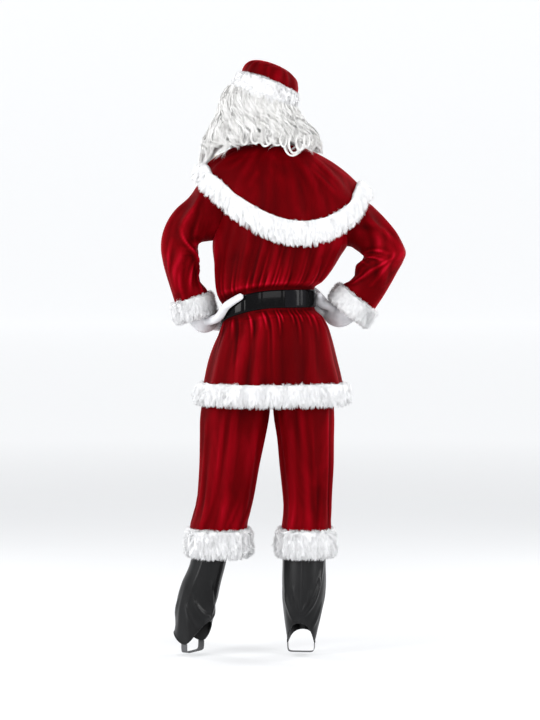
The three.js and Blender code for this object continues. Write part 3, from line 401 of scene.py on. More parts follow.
# Wig
WIG_RINGS = table(
    [1582, -26, -14, 178, 112, 2.2, 0], [1608, -25, -12, 170, 110, 2.2, 0],
    [1645, -22, -8, 146, 108, 2.2, -0.05], [1682, -23, -2, 124, 106, 2.1, -0.15],
    [1716, -26, 0, 113, 107, 2.1, -0.28], [1748, -20, 0, 100, 106, 2, -0.37],
    [1776, -18, 0, 92, 100, 2, -0.38])
WIG_WAVES = [
    (-210 + i * 20, -2.5, 5.2, 8 + 4 * math.sin(i * 2.3), 10 + 2 * math.cos(i * 1.7),
     12 * math.sin(i * 3.1)) for i in range(13)]
wig = ring_surface(WIG_RINGS, WIG_WAVES, 4)
WIG_SIDE = 35
# The strands hang one ring lower than the wig's wall
STRAND_RINGS = np.concatenate([table([1518, -30, -16, 188, 118, 2.2, 0]), WIG_RINGS])
strand_form = ring_surface(
    STRAND_RINGS, [(a, f + 1, t + 1, d, w, lean) for a, f, t, d, w, lean in WIG_WAVES], 4)

# Beard: rows of height, centre, half width, front and curve
BEARD_ROWS = table(
    [1456, 14, 40, 170, 7], [1484, 10, 64, 165, 11], [1530, 2, 84, 156, 18],
    [1590, -10, 98, 133, 42], [1650, -22, 95, 118, 38], [1690, -26, 80, 108, 42])


def beard_base(s, a):
    z, cx, half, front, curve = np.moveaxis(rows_at(BEARD_ROWS, s), -1, 0)
    across = 1 - a / QUARTER
    wave = 4 * np.sin(across * 14 + s) * np.clip(5 - s, 0, 1)
    return np.stack([cx + half * np.sin(across * QUARTER),
                     front - curve * across * across + wave, z], -1)


beard = Surface(beard_base)


def belt_base(s, a):
    z, cx, cy, width, depth, power, _ = JACKET_RINGS[WAIST_ROW]
    reach = oval_radius(a, width, depth, power) - FOLD_BASE
    return np.stack([cx + np.cos(a) * reach, cy + np.sin(a) * reach,
                     z + s - waist_drop(a, z)], -1)


belt = Surface(belt_base)
BELT_THICK = 3
BELT_OUT = REST_GAP + BELT_THICK


# Meshes


def grid_quads(rows, columns, closed=False, ring=False):
    """Quads of a grid of points; closed wraps the columns, ring wraps the rows."""
    i = np.arange(rows if ring else rows - 1)[:, None]
    j = np.arange(columns if closed else columns - 1)[None, :]
    below, right = (i + 1) % rows, (j + 1) % columns
    return np.stack([i * columns + j, i * columns + right,
                     below * columns + right, below * columns + j], -1).reshape(-1, 4)


def face_normals(points, quads):
    diagonal_a = points[quads[:, 2]] - points[quads[:, 0]]
    diagonal_b = points[quads[:, 3]] - points[quads[:, 1]]
    return np.cross(diagonal_a, diagonal_b)


def vertex_normals(points, quads):
    normals = np.zeros_like(points)
    across = face_normals(points, quads)
    for corner in range(4):
        for axis in range(3):
            normals[:, axis] += np.bincount(
                quads[:, corner], across[:, axis], minlength=len(points))
    return unit(normals)


def outward(points, quads, centres):
    """The quads, turned so that their normals point away from the centres."""
    middle = points[quads].mean(1)
    away = (face_normals(points, quads) * (middle - centres)).sum()
    return quads if away > 0 else quads[:, ::-1]


def used(points, faces):
    """Only the points that faces use, and the faces in their new numbers."""
    keep, inverse = np.unique(faces, return_inverse=True)
    return points[keep], inverse.reshape(faces.shape)


def thicken(points, quads, thick):
    """A closed thin shell: the given side, an inner side and a rim along open edges."""
    inner = points - vertex_normals(points, quads) * thick
    count = len(points)
    edges = np.concatenate([quads[:, [0, 1]], quads[:, [1, 2]], quads[:, [2, 3]], quads[:, [3, 0]]])
    _, first, uses = np.unique(np.sort(edges, 1), axis=0, return_index=True, return_counts=True)
    rim = edges[first[uses == 1]]
    sides = np.stack([rim[:, 1], rim[:, 0], rim[:, 0] + count, rim[:, 1] + count], -1)
    return np.concatenate([points, inner]), np.concatenate([quads, quads[:, ::-1] + count, sides])


def crests(points, quads, reach=2):
    """Convex curvature at each point in 1/mm, softened a little: the velvet paints a highlight on
    fold crests and shade in troughs by it.
    """
    edges = np.concatenate([quads[:, [0, 1]], quads[:, [1, 2]], quads[:, [2, 3]], quads[:, [3, 0]]])
    edges = np.unique(np.sort(edges, 1), axis=0)
    pairs = np.concatenate([edges, edges[:, ::-1]])
    count = np.maximum(np.bincount(pairs[:, 0], minlength=len(points)), 1)

    def mean_round(values):
        return np.bincount(pairs[:, 0], values[pairs[:, 1]], minlength=len(points)) / count

    step = points[pairs[:, 1]] - points[pairs[:, 0]]
    along_normal = (step * vertex_normals(points, quads)[pairs[:, 0]]).sum(-1)
    bend = np.bincount(pairs[:, 0], along_normal, minlength=len(points)) / count
    span = np.bincount(pairs[:, 0], (step ** 2).sum(-1), minlength=len(points)) / count
    bulge = -2 * bend / np.maximum(span, 1e-6)
    for _ in range(reach):
        bulge = (bulge + mean_round(bulge)) / 2
    return bulge


def set_painted_fold_light(obj, bulge):
    """Store the curvature as painted fold light, highlight on crests and shade in troughs, on a
    shell made by thicken, whose inner layer comes second.
    """
    values = np.zeros(len(obj.data.vertices), np.float32)
    values[:len(bulge)] = bulge
    obj.data.attributes.new("painted_fold_light", "FLOAT", "POINT").data.foreach_set("value", values)
    return obj


def velvet_shell(name, points, quads, strength):
    # The shell carries its curvature as painted fold light: a highlight on crests, shade in troughs
    obj = new_object(name, *thicken(points, quads, CLOTH))
    return set_painted_fold_light(obj, crests(points, quads) * strength)


def new_object(name, points, quads=None, triangles=None, smooth=True):
    """A mesh object from points in millimetres above the ground."""
    loops, sizes = [], []
    for faces in (quads, triangles):
        if faces is not None and len(faces):
            loops.append(faces.ravel())
            sizes.append(np.full(len(faces), faces.shape[1]))
    loops, sizes = np.concatenate(loops), np.concatenate(sizes)
    mesh = bpy.data.meshes.new(name)
    mesh.vertices.add(len(points))
    mesh.vertices.foreach_set("co", to_row(points).astype(np.float32).ravel())
    mesh.loops.add(len(loops))
    mesh.loops.foreach_set("vertex_index", loops.astype(np.int32))
    mesh.polygons.add(len(sizes))
    mesh.polygons.foreach_set("loop_start", (np.cumsum(sizes) - sizes).astype(np.int32))
    mesh.polygons.foreach_set("loop_total", sizes.astype(np.int32))
    mesh.polygons.foreach_set("use_smooth", np.full(len(sizes), smooth))
    mesh.update(calc_edges=True)
    mesh.validate()
    obj = bpy.data.objects.new(name, mesh)
    bpy.context.scene.collection.objects.link(obj)
    return obj


def soft_normals(obj, normals):
    """Shade a mass of blades or strands by the surface they grow on."""
    obj.data.normals_split_custom_set_from_vertices(unit(normals).tolist())
    return obj


def dress(obj, look, slot, *nodes):
    """Material, body and the CAD nodes that the piece stands for; the slot is not used."""
    obj.data.materials.clear()
    obj.data.materials.append(look)
    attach(obj, "root")
    if nodes:
        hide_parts(*nodes)
    return obj


def depth_inside(points, tree):
    """How far each point lies inside a closed form, negative outside."""
    depths = np.empty(len(points))
    for i, point in enumerate(points):
        place, normal, _, _ = tree.find_nearest(point)
        depths[i] = (place - Vector(point)).dot(normal)
    return depths


def tree_of(points, quads):
    return BVHTree.FromPolygons(points.tolist(), quads.tolist())


def shell_grid(surface, rows, angles, closed):
    s, a = np.meshgrid(rows, angles, indexing="ij")
    points = surface.at(s, a)
    centres = np.repeat(points.mean(1, keepdims=True), points.shape[1], 1).reshape(-1, 3)
    points = points.reshape(-1, 3)
    quads = grid_quads(len(rows), len(angles), closed)
    return points, outward(points, quads, centres[quads].mean(1))


def around(count, start=-math.pi):
    return start + np.arange(count) * FULL / count


# Materials


class Look:
    """One procedural material; a socket given as a value is linked."""

    def __init__(self, name):
        self.material = bpy.data.materials.new(name)
        self.material.use_nodes = True
        self.tree = self.material.node_tree
        self.tree.nodes.clear()
        self.place = self.node("TexCoord").outputs["Object"]

    def node(self, kind, inputs=None, **settings):
        node = self.tree.nodes.new("ShaderNode" + kind)
        for key, value in settings.items():
            setattr(node, key, value)
        for key, value in (inputs or {}).items():
            if isinstance(value, bpy.types.NodeSocket):
                self.tree.links.new(value, node.inputs[key])
            else:
                node.inputs[key].default_value = value
        return node

    def noise(self, scale, stretch=(1, 1, 1), detail=3.0, distortion=0.0):
        spread = self.node("Mapping", {"Vector": self.place, "Scale": stretch})
        return self.node("TexNoise", {
            "Vector": spread.outputs["Vector"], "Scale": scale, "Detail": detail,
            "Distortion": distortion}).outputs["Fac"]

    def ramp(self, value, *stops):
        node = self.node("ValToRGB", {"Fac": value})
        band = node.color_ramp
        while len(band.elements) < len(stops):
            band.elements.new(0.5)
        for element, (place, color) in zip(band.elements, stops):
            element.position = place
            element.color = (*color, 1)
        return node.outputs["Color"]

    def level(self, value, low, high, new_low=0.0, new_high=1.0):
        return self.node("MapRange", {
            "Value": value, "From Min": low, "From Max": high,
            "To Min": new_low, "To Max": new_high}).outputs["Result"]

    def bump(self, height, strength, distance, normal=None):
        inputs = {"Height": height, "Strength": strength, "Distance": distance}
        if normal is not None:
            inputs["Normal"] = normal
        return self.node("Bump", inputs).outputs["Normal"]

    def finish(self, inputs, through=0.0):
        """The shader; through is the share of light that passes thin strands."""
        surface = self.node("BsdfPrincipled", inputs).outputs["BSDF"]
        if through:
            passing = self.node("BsdfTranslucent", {"Color": inputs["Base Color"]})
            surface = self.node("MixShader", {0: through, 1: surface,
                                              2: passing.outputs["BSDF"]}).outputs["Shader"]
        out = self.node("OutputMaterial")
        self.tree.links.new(surface, out.inputs["Surface"])
        return self.material


def velvet_look():
    """Deep crimson face on, with a painted highlight along the crests of folds and painted shade in
    their troughs, over brushed nap.
    """
    look = Look("velvet")
    brushed = look.noise(11, (1, 1, 0.35), 3, 0.6)
    pile = look.noise(420, (1, 1, 0.6), 2)
    # Painted fold light from the stored curvature
    painted_fold_light = look.node("Attribute", attribute_name="painted_fold_light").outputs["Fac"]
    fold_light_level = look.level(painted_fold_light, -0.025, 0.045)
    swept = look.node("Math", {0: brushed, 1: 0.42}, operation="SUBTRACT").outputs["Value"]
    swept = look.node("Math", {0: swept, 1: 0.9}, operation="MULTIPLY").outputs["Value"]
    tone = look.node("Math", {0: fold_light_level, 1: swept}, operation="ADD").outputs["Value"]
    # The low stops are painted shade in fold troughs, the high stops a painted highlight on crests;
    # the brushed noise adds nap tone
    color = look.ramp(tone, (0.10, (0.031, 0.0, 0.0004)), (0.44, (0.083, 0.0, 0.0010)),
                      (0.70, (0.155, 0.0004, 0.0030)), (0.98, (0.34, 0.003, 0.014)))
    normal = look.bump(brushed, 0.2, 0.004)
    normal = look.bump(pile, 0.25, 0.0012, normal)
    return look.finish({
        "Base Color": color, "Roughness": look.level(pile, 0.3, 0.7, 0.5, 0.7),
        "Specular IOR Level": 0.015, "Sheen Weight": 0.42, "Sheen Roughness": 0.3,
        "Sheen Tint": (1.0, 0.02, 0.045, 1), "Normal": normal})


def fur_look(name, bright, dark):
    look = Look(name)
    tufts = look.noise(130, (1, 1, 0.5), 3)
    color = look.ramp(tufts, (0.3, dark), (0.6, bright))
    return look.finish({
        "Base Color": color, "Roughness": 0.85, "Specular IOR Level": 0.2,
        "Sheen Weight": 0.4, "Sheen Roughness": 0.5}, 0.15)


def hair_look(name, bright, dark):
    look = Look(name)
    strands = look.noise(70, (1, 1, 0.25), 4, 0.4)
    color = look.ramp(strands, (0.3, dark), (0.6, bright))
    return look.finish({
        "Base Color": color, "Roughness": 0.42, "Specular IOR Level": 0.45,
        "Sheen Weight": 0.25, "Sheen Roughness": 0.5}, 0.1)


def vinyl_look(name, color, roughness):
    look = Look(name)
    waves = look.noise(22, (1, 1, 1), 2)
    smears = look.noise(60, (1, 1, 0.4), 4)
    return look.finish({
        "Base Color": (*color, 1),
        "Roughness": look.level(smears, 0.35, 0.75, roughness, roughness + 0.14),
        "Specular IOR Level": 0.03, "Coat Weight": 0.1, "Coat Roughness": 0.05,
        "Normal": look.bump(waves, 0.22, 0.006)})


def satin_look():
    look = Look("satin_cover")
    soft = look.noise(14, (1, 1, 0.35), 3, 0.5)
    grain = look.node("TexVoronoi", {"Vector": look.place, "Scale": 620.0}).outputs["Distance"]
    color = look.ramp(soft, (0.3, (0.002, 0.002, 0.0023)), (0.7, (0.006, 0.006, 0.0066)))
    normal = look.bump(soft, 0.3, 0.005)
    normal = look.bump(grain, 0.12, 0.0004, normal)
    return look.finish({
        "Base Color": color, "Roughness": look.level(soft, 0.3, 0.7, 0.28, 0.42),
        "Specular IOR Level": 0.2, "Normal": normal})


def knit_look():
    look = Look("knit")
    loops = look.node("TexVoronoi", {"Vector": look.place, "Scale": 520.0}).outputs["Distance"]
    soft = look.noise(40, (1, 1, 1), 3)
    color = look.ramp(soft, (0.3, (0.50, 0.505, 0.53)), (0.7, (0.64, 0.645, 0.665)))
    return look.finish({
        "Base Color": color, "Roughness": 0.85, "Specular IOR Level": 0.25,
        "Sheen Weight": 0.3, "Normal": look.bump(loops, 0.35, 0.0006)})


def metal_look():
    look = Look("buckle_metal")
    brushed = look.noise(300, (0.05, 1, 1), 3)
    return look.finish({
        "Base Color": (0.62, 0.62, 0.64, 1), "Metallic": 1.0,
        "Roughness": look.level(brushed, 0.3, 0.7, 0.2, 0.38),
        "Normal": look.bump(brushed, 0.08, 0.0003)})


def button_look():
    look = Look("button_shell")
    swirl = look.noise(260, (1, 1, 1), 3, 1.5)
    color = look.ramp(swirl, (0.3, (0.62, 0.47, 0.22)), (0.7, (0.86, 0.76, 0.52)))
    return look.finish({"Base Color": color, "Roughness": 0.25, "Specular IOR Level": 0.5})


def elastic_look():
    look = Look("elastic")
    ribs = look.node("TexWave", {"Vector": look.place, "Scale": 420.0}, bands_direction="X")
    color = look.ramp(ribs.outputs["Fac"], (0.2, (0.05, 0.05, 0.053)), (0.8, (0.11, 0.11, 0.115)))
    return look.finish({"Base Color": color, "Roughness": 0.8,
                        "Normal": look.bump(ribs.outputs["Fac"], 0.3, 0.0004)})


VELVET = velvet_look()
FUR = fur_look("fur", (0.93, 0.932, 0.938), (0.82, 0.825, 0.835))
FUR_BACKING = fur_look("fur_backing", (0.93, 0.932, 0.935), (0.86, 0.865, 0.87))
HAIR = hair_look("hair", (0.77, 0.765, 0.755), (0.62, 0.615, 0.60))
# A darker copy of the hair for the wig cap and beard backing under the strands: painted shade
# between the strands
HAIR_PAINTED_SHADE = hair_look("hair_painted_shade", (0.62, 0.615, 0.605), (0.45, 0.445, 0.435))
VINYL = vinyl_look("vinyl", (0.0015, 0.0015, 0.0018), 0.12)
# A lighter, rougher copy of the vinyl for the lapped end: the rougher finish is real, the lighter
# colour is a painted reflection
VINYL_END_PAINTED_REFLECTION = vinyl_look("vinyl_end_painted_reflection", (0.004, 0.004, 0.005), 0.2)
SATIN = satin_look()
KNIT = knit_look()
METAL = metal_look()
BUTTON = button_look()
ELASTIC = elastic_look()


# Velvet shells: jacket and sleeves

# How strongly each piece shows the painted highlight on its fold crests and painted shade in its
# troughs
PAINTED_FOLD_LIGHT_SHARE = {"jacket": 0.85, "sleeve": 0.6, "trousers": 0.5, "cape": 0.4, "hat": 0.3}

def jacket_panels():
    rows = np.concatenate([np.linspace(0, 6, 62), np.linspace(6, 8, 8)[1:],
                           np.linspace(8, 18, 74)[1:]])
    panels = [("jacket_back", np.linspace(-math.pi, 0, 148)),
              ("jacket_front_right", np.linspace(0, QUARTER, 50)),
              ("jacket_front_left", np.linspace(QUARTER, math.pi, 50))]
    return [(name, *shell_grid(jacket, rows, angles, False)) for name, angles in panels]


ARM_ROWS = {"left": 11, "right": 12}
ARMHOLE_X = {"left": -150, "right": 215}
SLEEVE_TUCK = 3
ARMHOLE_TUCK = 7

panels = jacket_panels()
whole = shell_grid(jacket, np.linspace(0, 18, 120), around(160), True)
body_tree = tree_of(*whole)
sleeve_forms = {side: arm(rows, SLEEVE_FOLDS + SLEEVE_CREASES[side])
                for side, rows in ARMS.items()}
sleeve_trees = {side: tree_of(*shell_grid(form, np.linspace(0, ARM_ROWS[side], 60),
                                          around(48), True))
                for side, form in sleeve_forms.items()}

for name, points, quads in panels:
    middles = points[quads].mean(1)
    hidden = np.zeros(len(quads), bool)
    for side, sign in (("left", -1), ("right", 1)):
        beyond = (middles[:, 0] - ARMHOLE_X[side]) * sign > 0
        chosen = np.flatnonzero(beyond & (middles[:, 2] > 1250))
        inside = depth_inside(middles[chosen], sleeve_trees[side]) > ARMHOLE_TUCK
        hidden[chosen[inside]] = True
    points, quads = used(points, quads[~hidden])
    obj = velvet_shell("velvet_" + name, points, quads, PAINTED_FOLD_LIGHT_SHARE["jacket"])
    dress(obj, VELVET, "velvet", name)

for side, form in sleeve_forms.items():
    rows = np.linspace(0.2, ARM_ROWS[side], 88)
    points, quads = shell_grid(form, rows, around(64), True)
    middles = points[quads].mean(1)
    near = np.flatnonzero(middles[:, 2] > 1220)
    hidden = np.zeros(len(quads), bool)
    hidden[near[depth_inside(middles[near], body_tree) > SLEEVE_TUCK]] = True
    points, quads = used(points, quads[~hidden])
    obj = velvet_shell(f"velvet_sleeve_{side}", points, quads, PAINTED_FOLD_LIGHT_SHARE["sleeve"])
    dress(obj, VELVET, "velvet", f"sleeve_{side}")


# Velvet shells: trousers, cape and hat


def trouser_base(side):
    """A leg ring joined to the hips above the crotch, both cut at the centre plane."""
    rings = LEGS[side]
    folds = LEG_FOLDS + LEG_CREASES[side]
    sign = -1 if side == "left" else 1

    def hip_radius(cx, cy, z, a):
        hip_cx, hip_cy, width, depth = (
            np.interp(z, HIP_RINGS[:, 0], HIP_RINGS[:, k]) for k in (1, 2, 3, 4))
        rise = np.clip((z - HIP_RINGS[0, 0] + CROTCH_BLEND / 4) / CROTCH_BLEND, 1e-3, 1)
        width, depth = width * np.sqrt(rise), depth * np.sqrt(rise)
        low, high = np.zeros_like(a), np.full_like(a, 420.0)
        for _ in range(22):
            r = (low + high) / 2
            x = np.abs(cx + r * np.cos(a) - hip_cx) / width
            y = np.abs(cy + r * np.sin(a) - hip_cy) / depth
            inside = x ** 2.3 + y ** 2.3 < 1
            low, high = np.where(inside, r, low), np.where(inside, high, r)
        return low

    def base(s, a):
        z, cx, cy, width, depth, power, _ = np.moveaxis(rows_at(rings, s), -1, 0)
        leg = oval_radius(a, width, depth, power) + fold_depth(folds, a, s) - FOLD_LEG
        toward = -sign * np.cos(a)
        plane = np.where(toward > 1e-3, (cx - CROTCH_X) * sign / np.maximum(toward, 1e-3), 1e4)
        hip = np.where(z > HIP_RINGS[0, 0] - CROTCH_BLEND / 4, hip_radius(cx, cy, z, a), 0)
        reach = np.minimum(np.maximum(leg, hip), plane)
        open_side = (hip >= plane) & (toward > 1e-3)
        point = np.stack([cx + np.cos(a) * reach, cy + np.sin(a) * reach, z], -1)
        return point, open_side
    return base


for side in ("left", "right"):
    rows, angles = np.linspace(0, 10, 110), around(80)
    s, a = np.meshgrid(rows, angles, indexing="ij")
    points, open_side = trouser_base(side)(s, a)
    middle = np.repeat(points.mean(1, keepdims=True), points.shape[1], 1).reshape(-1, 3)
    points = points.reshape(-1, 3)
    quads = grid_quads(len(rows), len(angles), True)
    quads = outward(points, quads, middle[quads].mean(1))
    quads = quads[~open_side.ravel()[quads].all(1)]
    points, quads = used(points, quads)
    obj = velvet_shell(f"velvet_trousers_{side}", points, quads, PAINTED_FOLD_LIGHT_SHARE["trousers"])
    dress(obj, VELVET, "velvet", f"trousers_{side}")

FRONT_GAP = math.radians(2)
CAPE_SPAN = (-3 * QUARTER + FRONT_GAP, QUARTER - FRONT_GAP)
cape_rows = np.concatenate([np.linspace(0, 1, 8), np.linspace(1, 6, 50)[1:]])
points, quads = shell_grid(cape, cape_rows, np.linspace(*CAPE_SPAN, 210), False)
dress(velvet_shell("velvet_cape", points, quads, PAINTED_FOLD_LIGHT_SHARE["cape"]), VELVET, "velvet", "cape")

points, quads = shell_grid(hat, np.linspace(0, 7, 50), around(96), True)
dress(velvet_shell("velvet_hat", points, quads, PAINTED_FOLD_LIGHT_SHARE["hat"]), VELVET, "velvet", "hat_crown")


# Boot covers with a turned hem and a back seam


def cover_surface(side):
    toe, rows = COVERS[side]

    def base(s, a):
        z, cx, cy, long, wide = np.moveaxis(rows_at(rows, s), -1, 0)
        local = a - toe
        reach = oval_radius(local, long, wide, 2) + fold_depth(COVER_CREASES[side], local, s) - 1
        seam = bell(turn_between(local, math.pi) / math.radians(3.4))
        reach = reach + 1.6 * seam * (s > 0)
        c = np.cos(local)
        lift = c * c * np.where(c < 0, HEEL_LIFT, INSTEP_LIFT)
        fade = np.maximum(0, 1 - s / LIFT_FADE) ** 1.5
        return np.stack([cx + np.cos(a) * reach, cy + np.sin(a) * reach, z + lift * fade], -1)
    return Surface(base)


HEM_TUBE = 1.6
# Columns stand closer together at the back seam
SEAM_CROWD = 0.6


def tube_grid(path, radius, sides=8, closed=True):
    """Rings of points round a path, for hems and bindings."""
    ahead, behind = np.roll(path, -1, 0), np.roll(path, 1, 0)
    if not closed:
        ahead[-1], behind[0] = path[-1], path[0]
    along = ahead - behind
    along /= np.linalg.norm(along, axis=1, keepdims=True)
    side = unit(np.cross(along, [0, 0, 1]))
    up = np.cross(side, along)
    turn = np.arange(sides) * FULL / sides
    ring = (side[:, None] * np.cos(turn)[None, :, None] + up[:, None] * np.sin(turn)[None, :, None])
    points = path[:, None] + ring * np.asarray(radius, float).reshape(-1, 1, 1)
    return points.reshape(-1, 3), grid_quads(len(path), sides, True, closed)


STRAP = {"width": 22, "thick": 1.5, "drop": 30}

for side in ("left", "right"):
    form = cover_surface(side)
    toe = COVERS[side][0]
    turn = around(84)
    turn = toe + turn + SEAM_CROWD * np.sin(turn)
    points, quads = shell_grid(form, np.linspace(0, 7, 66), turn, True)
    obj = new_object(f"satin_cover_{side}", *thicken(points, quads, CLOTH))
    dress(obj, SATIN, "satin_cover", f"boot_cover_{side}")
    hem_points, hem_quads = tube_grid(form.at(0.03, around(120, toe), 0.2), HEM_TUBE)
    hem = new_object(f"satin_hem_{side}", hem_points, hem_quads)
    dress(hem, SATIN, "satin_cover")
    ends = form.at(0.0, np.array([toe + QUARTER, toe - QUARTER]), 0.0)
    middle, aside = ends.mean(0), (ends[1] - ends[0]) / 2
    lengthwise = np.array([math.cos(toe), math.sin(toe), 0])
    t = np.linspace(-1, 1, 41)
    fall = 1 - np.abs(t) ** 6
    path = middle + aside * np.sign(t)[:, None] * (1 - (1 - np.abs(t)[:, None]) ** 1.6)
    path[:, 2] -= STRAP["drop"] * fall ** 0.5 - 1
    wide = np.linspace(-0.5, 0.5, 9)
    strap_points = (path[:, None] + lengthwise * (wide * STRAP["width"])[None, :, None])
    strap_points = strap_points.reshape(-1, 3)
    strap_quads = grid_quads(41, 9)
    strap_middle = middle + [0, 0, 20]
    strap_quads = outward(strap_points, strap_quads, strap_middle)
    strap = new_object(f"elastic_strap_{side}",
                       *thicken(strap_points, strap_quads, STRAP["thick"]))
    dress(strap, ELASTIC, "satin_cover", f"boot_strap_{side}")


# Belt: glossy vinyl with a lapped end and slight bends

BELT_BENDS = [(-101.5, 2.2, 1.6), (-68, 1.6, 1.4), (-126, 1.8, 1.8), (-44, 1.8, 1.8),
              (-10, 2.5, 1.2), (30, 2.5, 1.2), (150, 2.5, 1.4), (175, 2.5, 1.2)]
BELT_LAP = (-65, -36)
BELT_SECTION = [(-28, 0.5), (-27.4, 2.6), (-26, 3.3), (-20, 3.6), (-10, 3.9), (0, 4.0), (10, 3.9),
                (20, 3.6), (26, 3.3), (27.4, 2.6), (28, 0.5), (14, 0.3), (0, 0.3), (-14, 0.3)]


def belt_band(angles, section, extra=0.0):
    across = np.array(section)
    s, a = np.meshgrid(across[:, 0], angles, indexing="ij")
    out = np.repeat(across[:, 1:], len(angles), 1) + REST_GAP * 0.5
    bend = sum(depth * bell(turn_between(a, math.radians(line)) / math.radians(width))
               for line, width, depth in BELT_BENDS)
    out = np.where(out > 1.5, out - bend * 0.5 + extra, out + extra)
    return belt.at(s, a, out).reshape(-1, 3)


angles = around(300)
points = belt_band(angles, BELT_SECTION)
quads = grid_quads(len(BELT_SECTION), len(angles), True, True)
quads = outward(points, quads, belt.at(np.array(0.0), around(300)).mean(0))
dress(new_object("vinyl_belt", points, quads), VINYL, "vinyl", "belt")
# The lapped end wears the lighter vinyl copy, a painted reflection
lap_angles = np.radians(np.linspace(*BELT_LAP, 40))
lap_section = [(s * 0.985, out + (1.2 if out > 1.5 else 3.6)) for s, out in BELT_SECTION]
points = belt_band(lap_angles, lap_section)
quads = grid_quads(len(lap_section), len(lap_angles), False, True)
quads = outward(points, quads, belt.at(np.array(0.0), around(300)).mean(0))
dress(new_object("vinyl_belt_end", points, quads), VINYL_END_PAINTED_REFLECTION, "vinyl")

# The buckle and the buttons are the solids themselves, with rounded edges
for name, look, rounding, steps in (("belt_buckle", METAL, 0.001, 3),
                                    ("cape_button", BUTTON, 0.0006, 2),
                                    ("jacket_button", BUTTON, 0.0006, 2)):
    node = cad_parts[name]
    node.data.materials.clear()
    node.data.materials.append(look)
    bevel = node.modifiers.new("edges", "BEVEL")
    bevel.width = rounding
    bevel.segments = steps


# Fur


class Patch:
    """A grid of points that is read between them, with its normals and its way down."""

    def __init__(self, points, closed):
        self.points, self.closed = points, closed
        if closed:
            wrapped = np.concatenate([points[:, -1:], points, points[:, :1]], 1)
            around_step = (wrapped[:, 2:] - wrapped[:, :-2])
        else:
            around_step = np.gradient(points, axis=1)
        down = np.gradient(points, axis=0)
        normals = unit(np.cross(around_step, down))
        inward = (points - points.mean((0, 1), keepdims=True)) * normals
        self.normals = normals if inward.sum() > 0 else -normals
        whole = points[-1:] - points[:1]
        self.down = unit(unit(down) * 0.3 + unit(whole))

    def read(self, i, j):
        """Point, normal and down at fractional row i and column j."""
        rows, columns = self.points.shape[:2]
        i = np.clip(i, 0, rows - 1.001)
        j = j % columns if self.closed else np.clip(j, 0, columns - 1.001)
        i0, j0 = np.floor(i).astype(int), np.floor(j).astype(int)
        j0 = j0 % columns
        j1 = (j0 + 1) % columns
        fi, fj = (i - i0)[..., None], (j - np.floor(j))[..., None]

        def blend(grid):
            return ((grid[i0, j0] * (1 - fj) + grid[i0, j1] * fj) * (1 - fi)
                    + (grid[i0 + 1, j0] * (1 - fj) + grid[i0 + 1, j1] * fj) * fi)
        return blend(self.points), unit(blend(self.normals)), unit(blend(self.down))


# Out (a share of the trim's thickness) and along (a share of its width), from the upper edge down
BACKING = [(0.06, 0.99), (0.3, 0.99), (0.47, 0.92), (0.55, 0.78), (0.58, 0.6), (0.58, 0.4),
           (0.55, 0.22), (0.47, 0.08), (0.3, 0.01), (0.06, 0.0)]


def trim_patch(surface, s0, s1, angles, thick, closed):
    section = np.array(BACKING)
    out, along = np.meshgrid(section[:, 0], angles, indexing="ij")[0], section[:, 1][:, None]
    a = np.repeat(angles[None], len(section), 0)
    uneven = 0.05 * np.sin(a * 23 + along * 5) + 0.04 * np.sin(a * 41 + along * 9 + 1)
    points = surface.at(s0 + (s1 - s0) * (along + 0 * a), a, REST_GAP + thick * out * (1 + uneven))
    return Patch(points, closed)


def backing_mesh(name, patch, surface, s0, s1, angles, closed):
    """The fur's cloth: the patch and an inner face, closed round."""
    inner = surface.at(*np.meshgrid([s0, (s0 + s1) / 2, s1], angles, indexing="ij"), REST_GAP * 0.5)
    points = np.concatenate([patch.points, inner]).reshape(-1, 3)
    rows = len(BACKING) + 3
    quads = grid_quads(rows, len(angles), closed, True)
    centre = patch.points.mean((0, 1)) if closed else patch.points.mean(0)
    if closed:
        quads = outward(points, quads, centre)
        return new_object(name, points, quads)
    quads = outward(points, quads, points.mean(0))
    columns = len(angles)
    first = np.arange(rows) * columns
    fan = [[first[0], first[k], first[k + 1]] for k in range(1, rows - 1)]
    last = first + columns - 1
    fan += [[last[0], last[k + 1], last[k]] for k in range(1, rows - 1)]
    return new_object(name, points, quads, np.array(fan))


# Blades of a tuft: how far they stray, their count and width, and how far their tips draw together
SPREAD = 0.2
TIP_DRAW = (0.15, 0.7)
TUFT_SIZE = 3.0
BLADES = 25
BLADE_WIDTH = 1.38


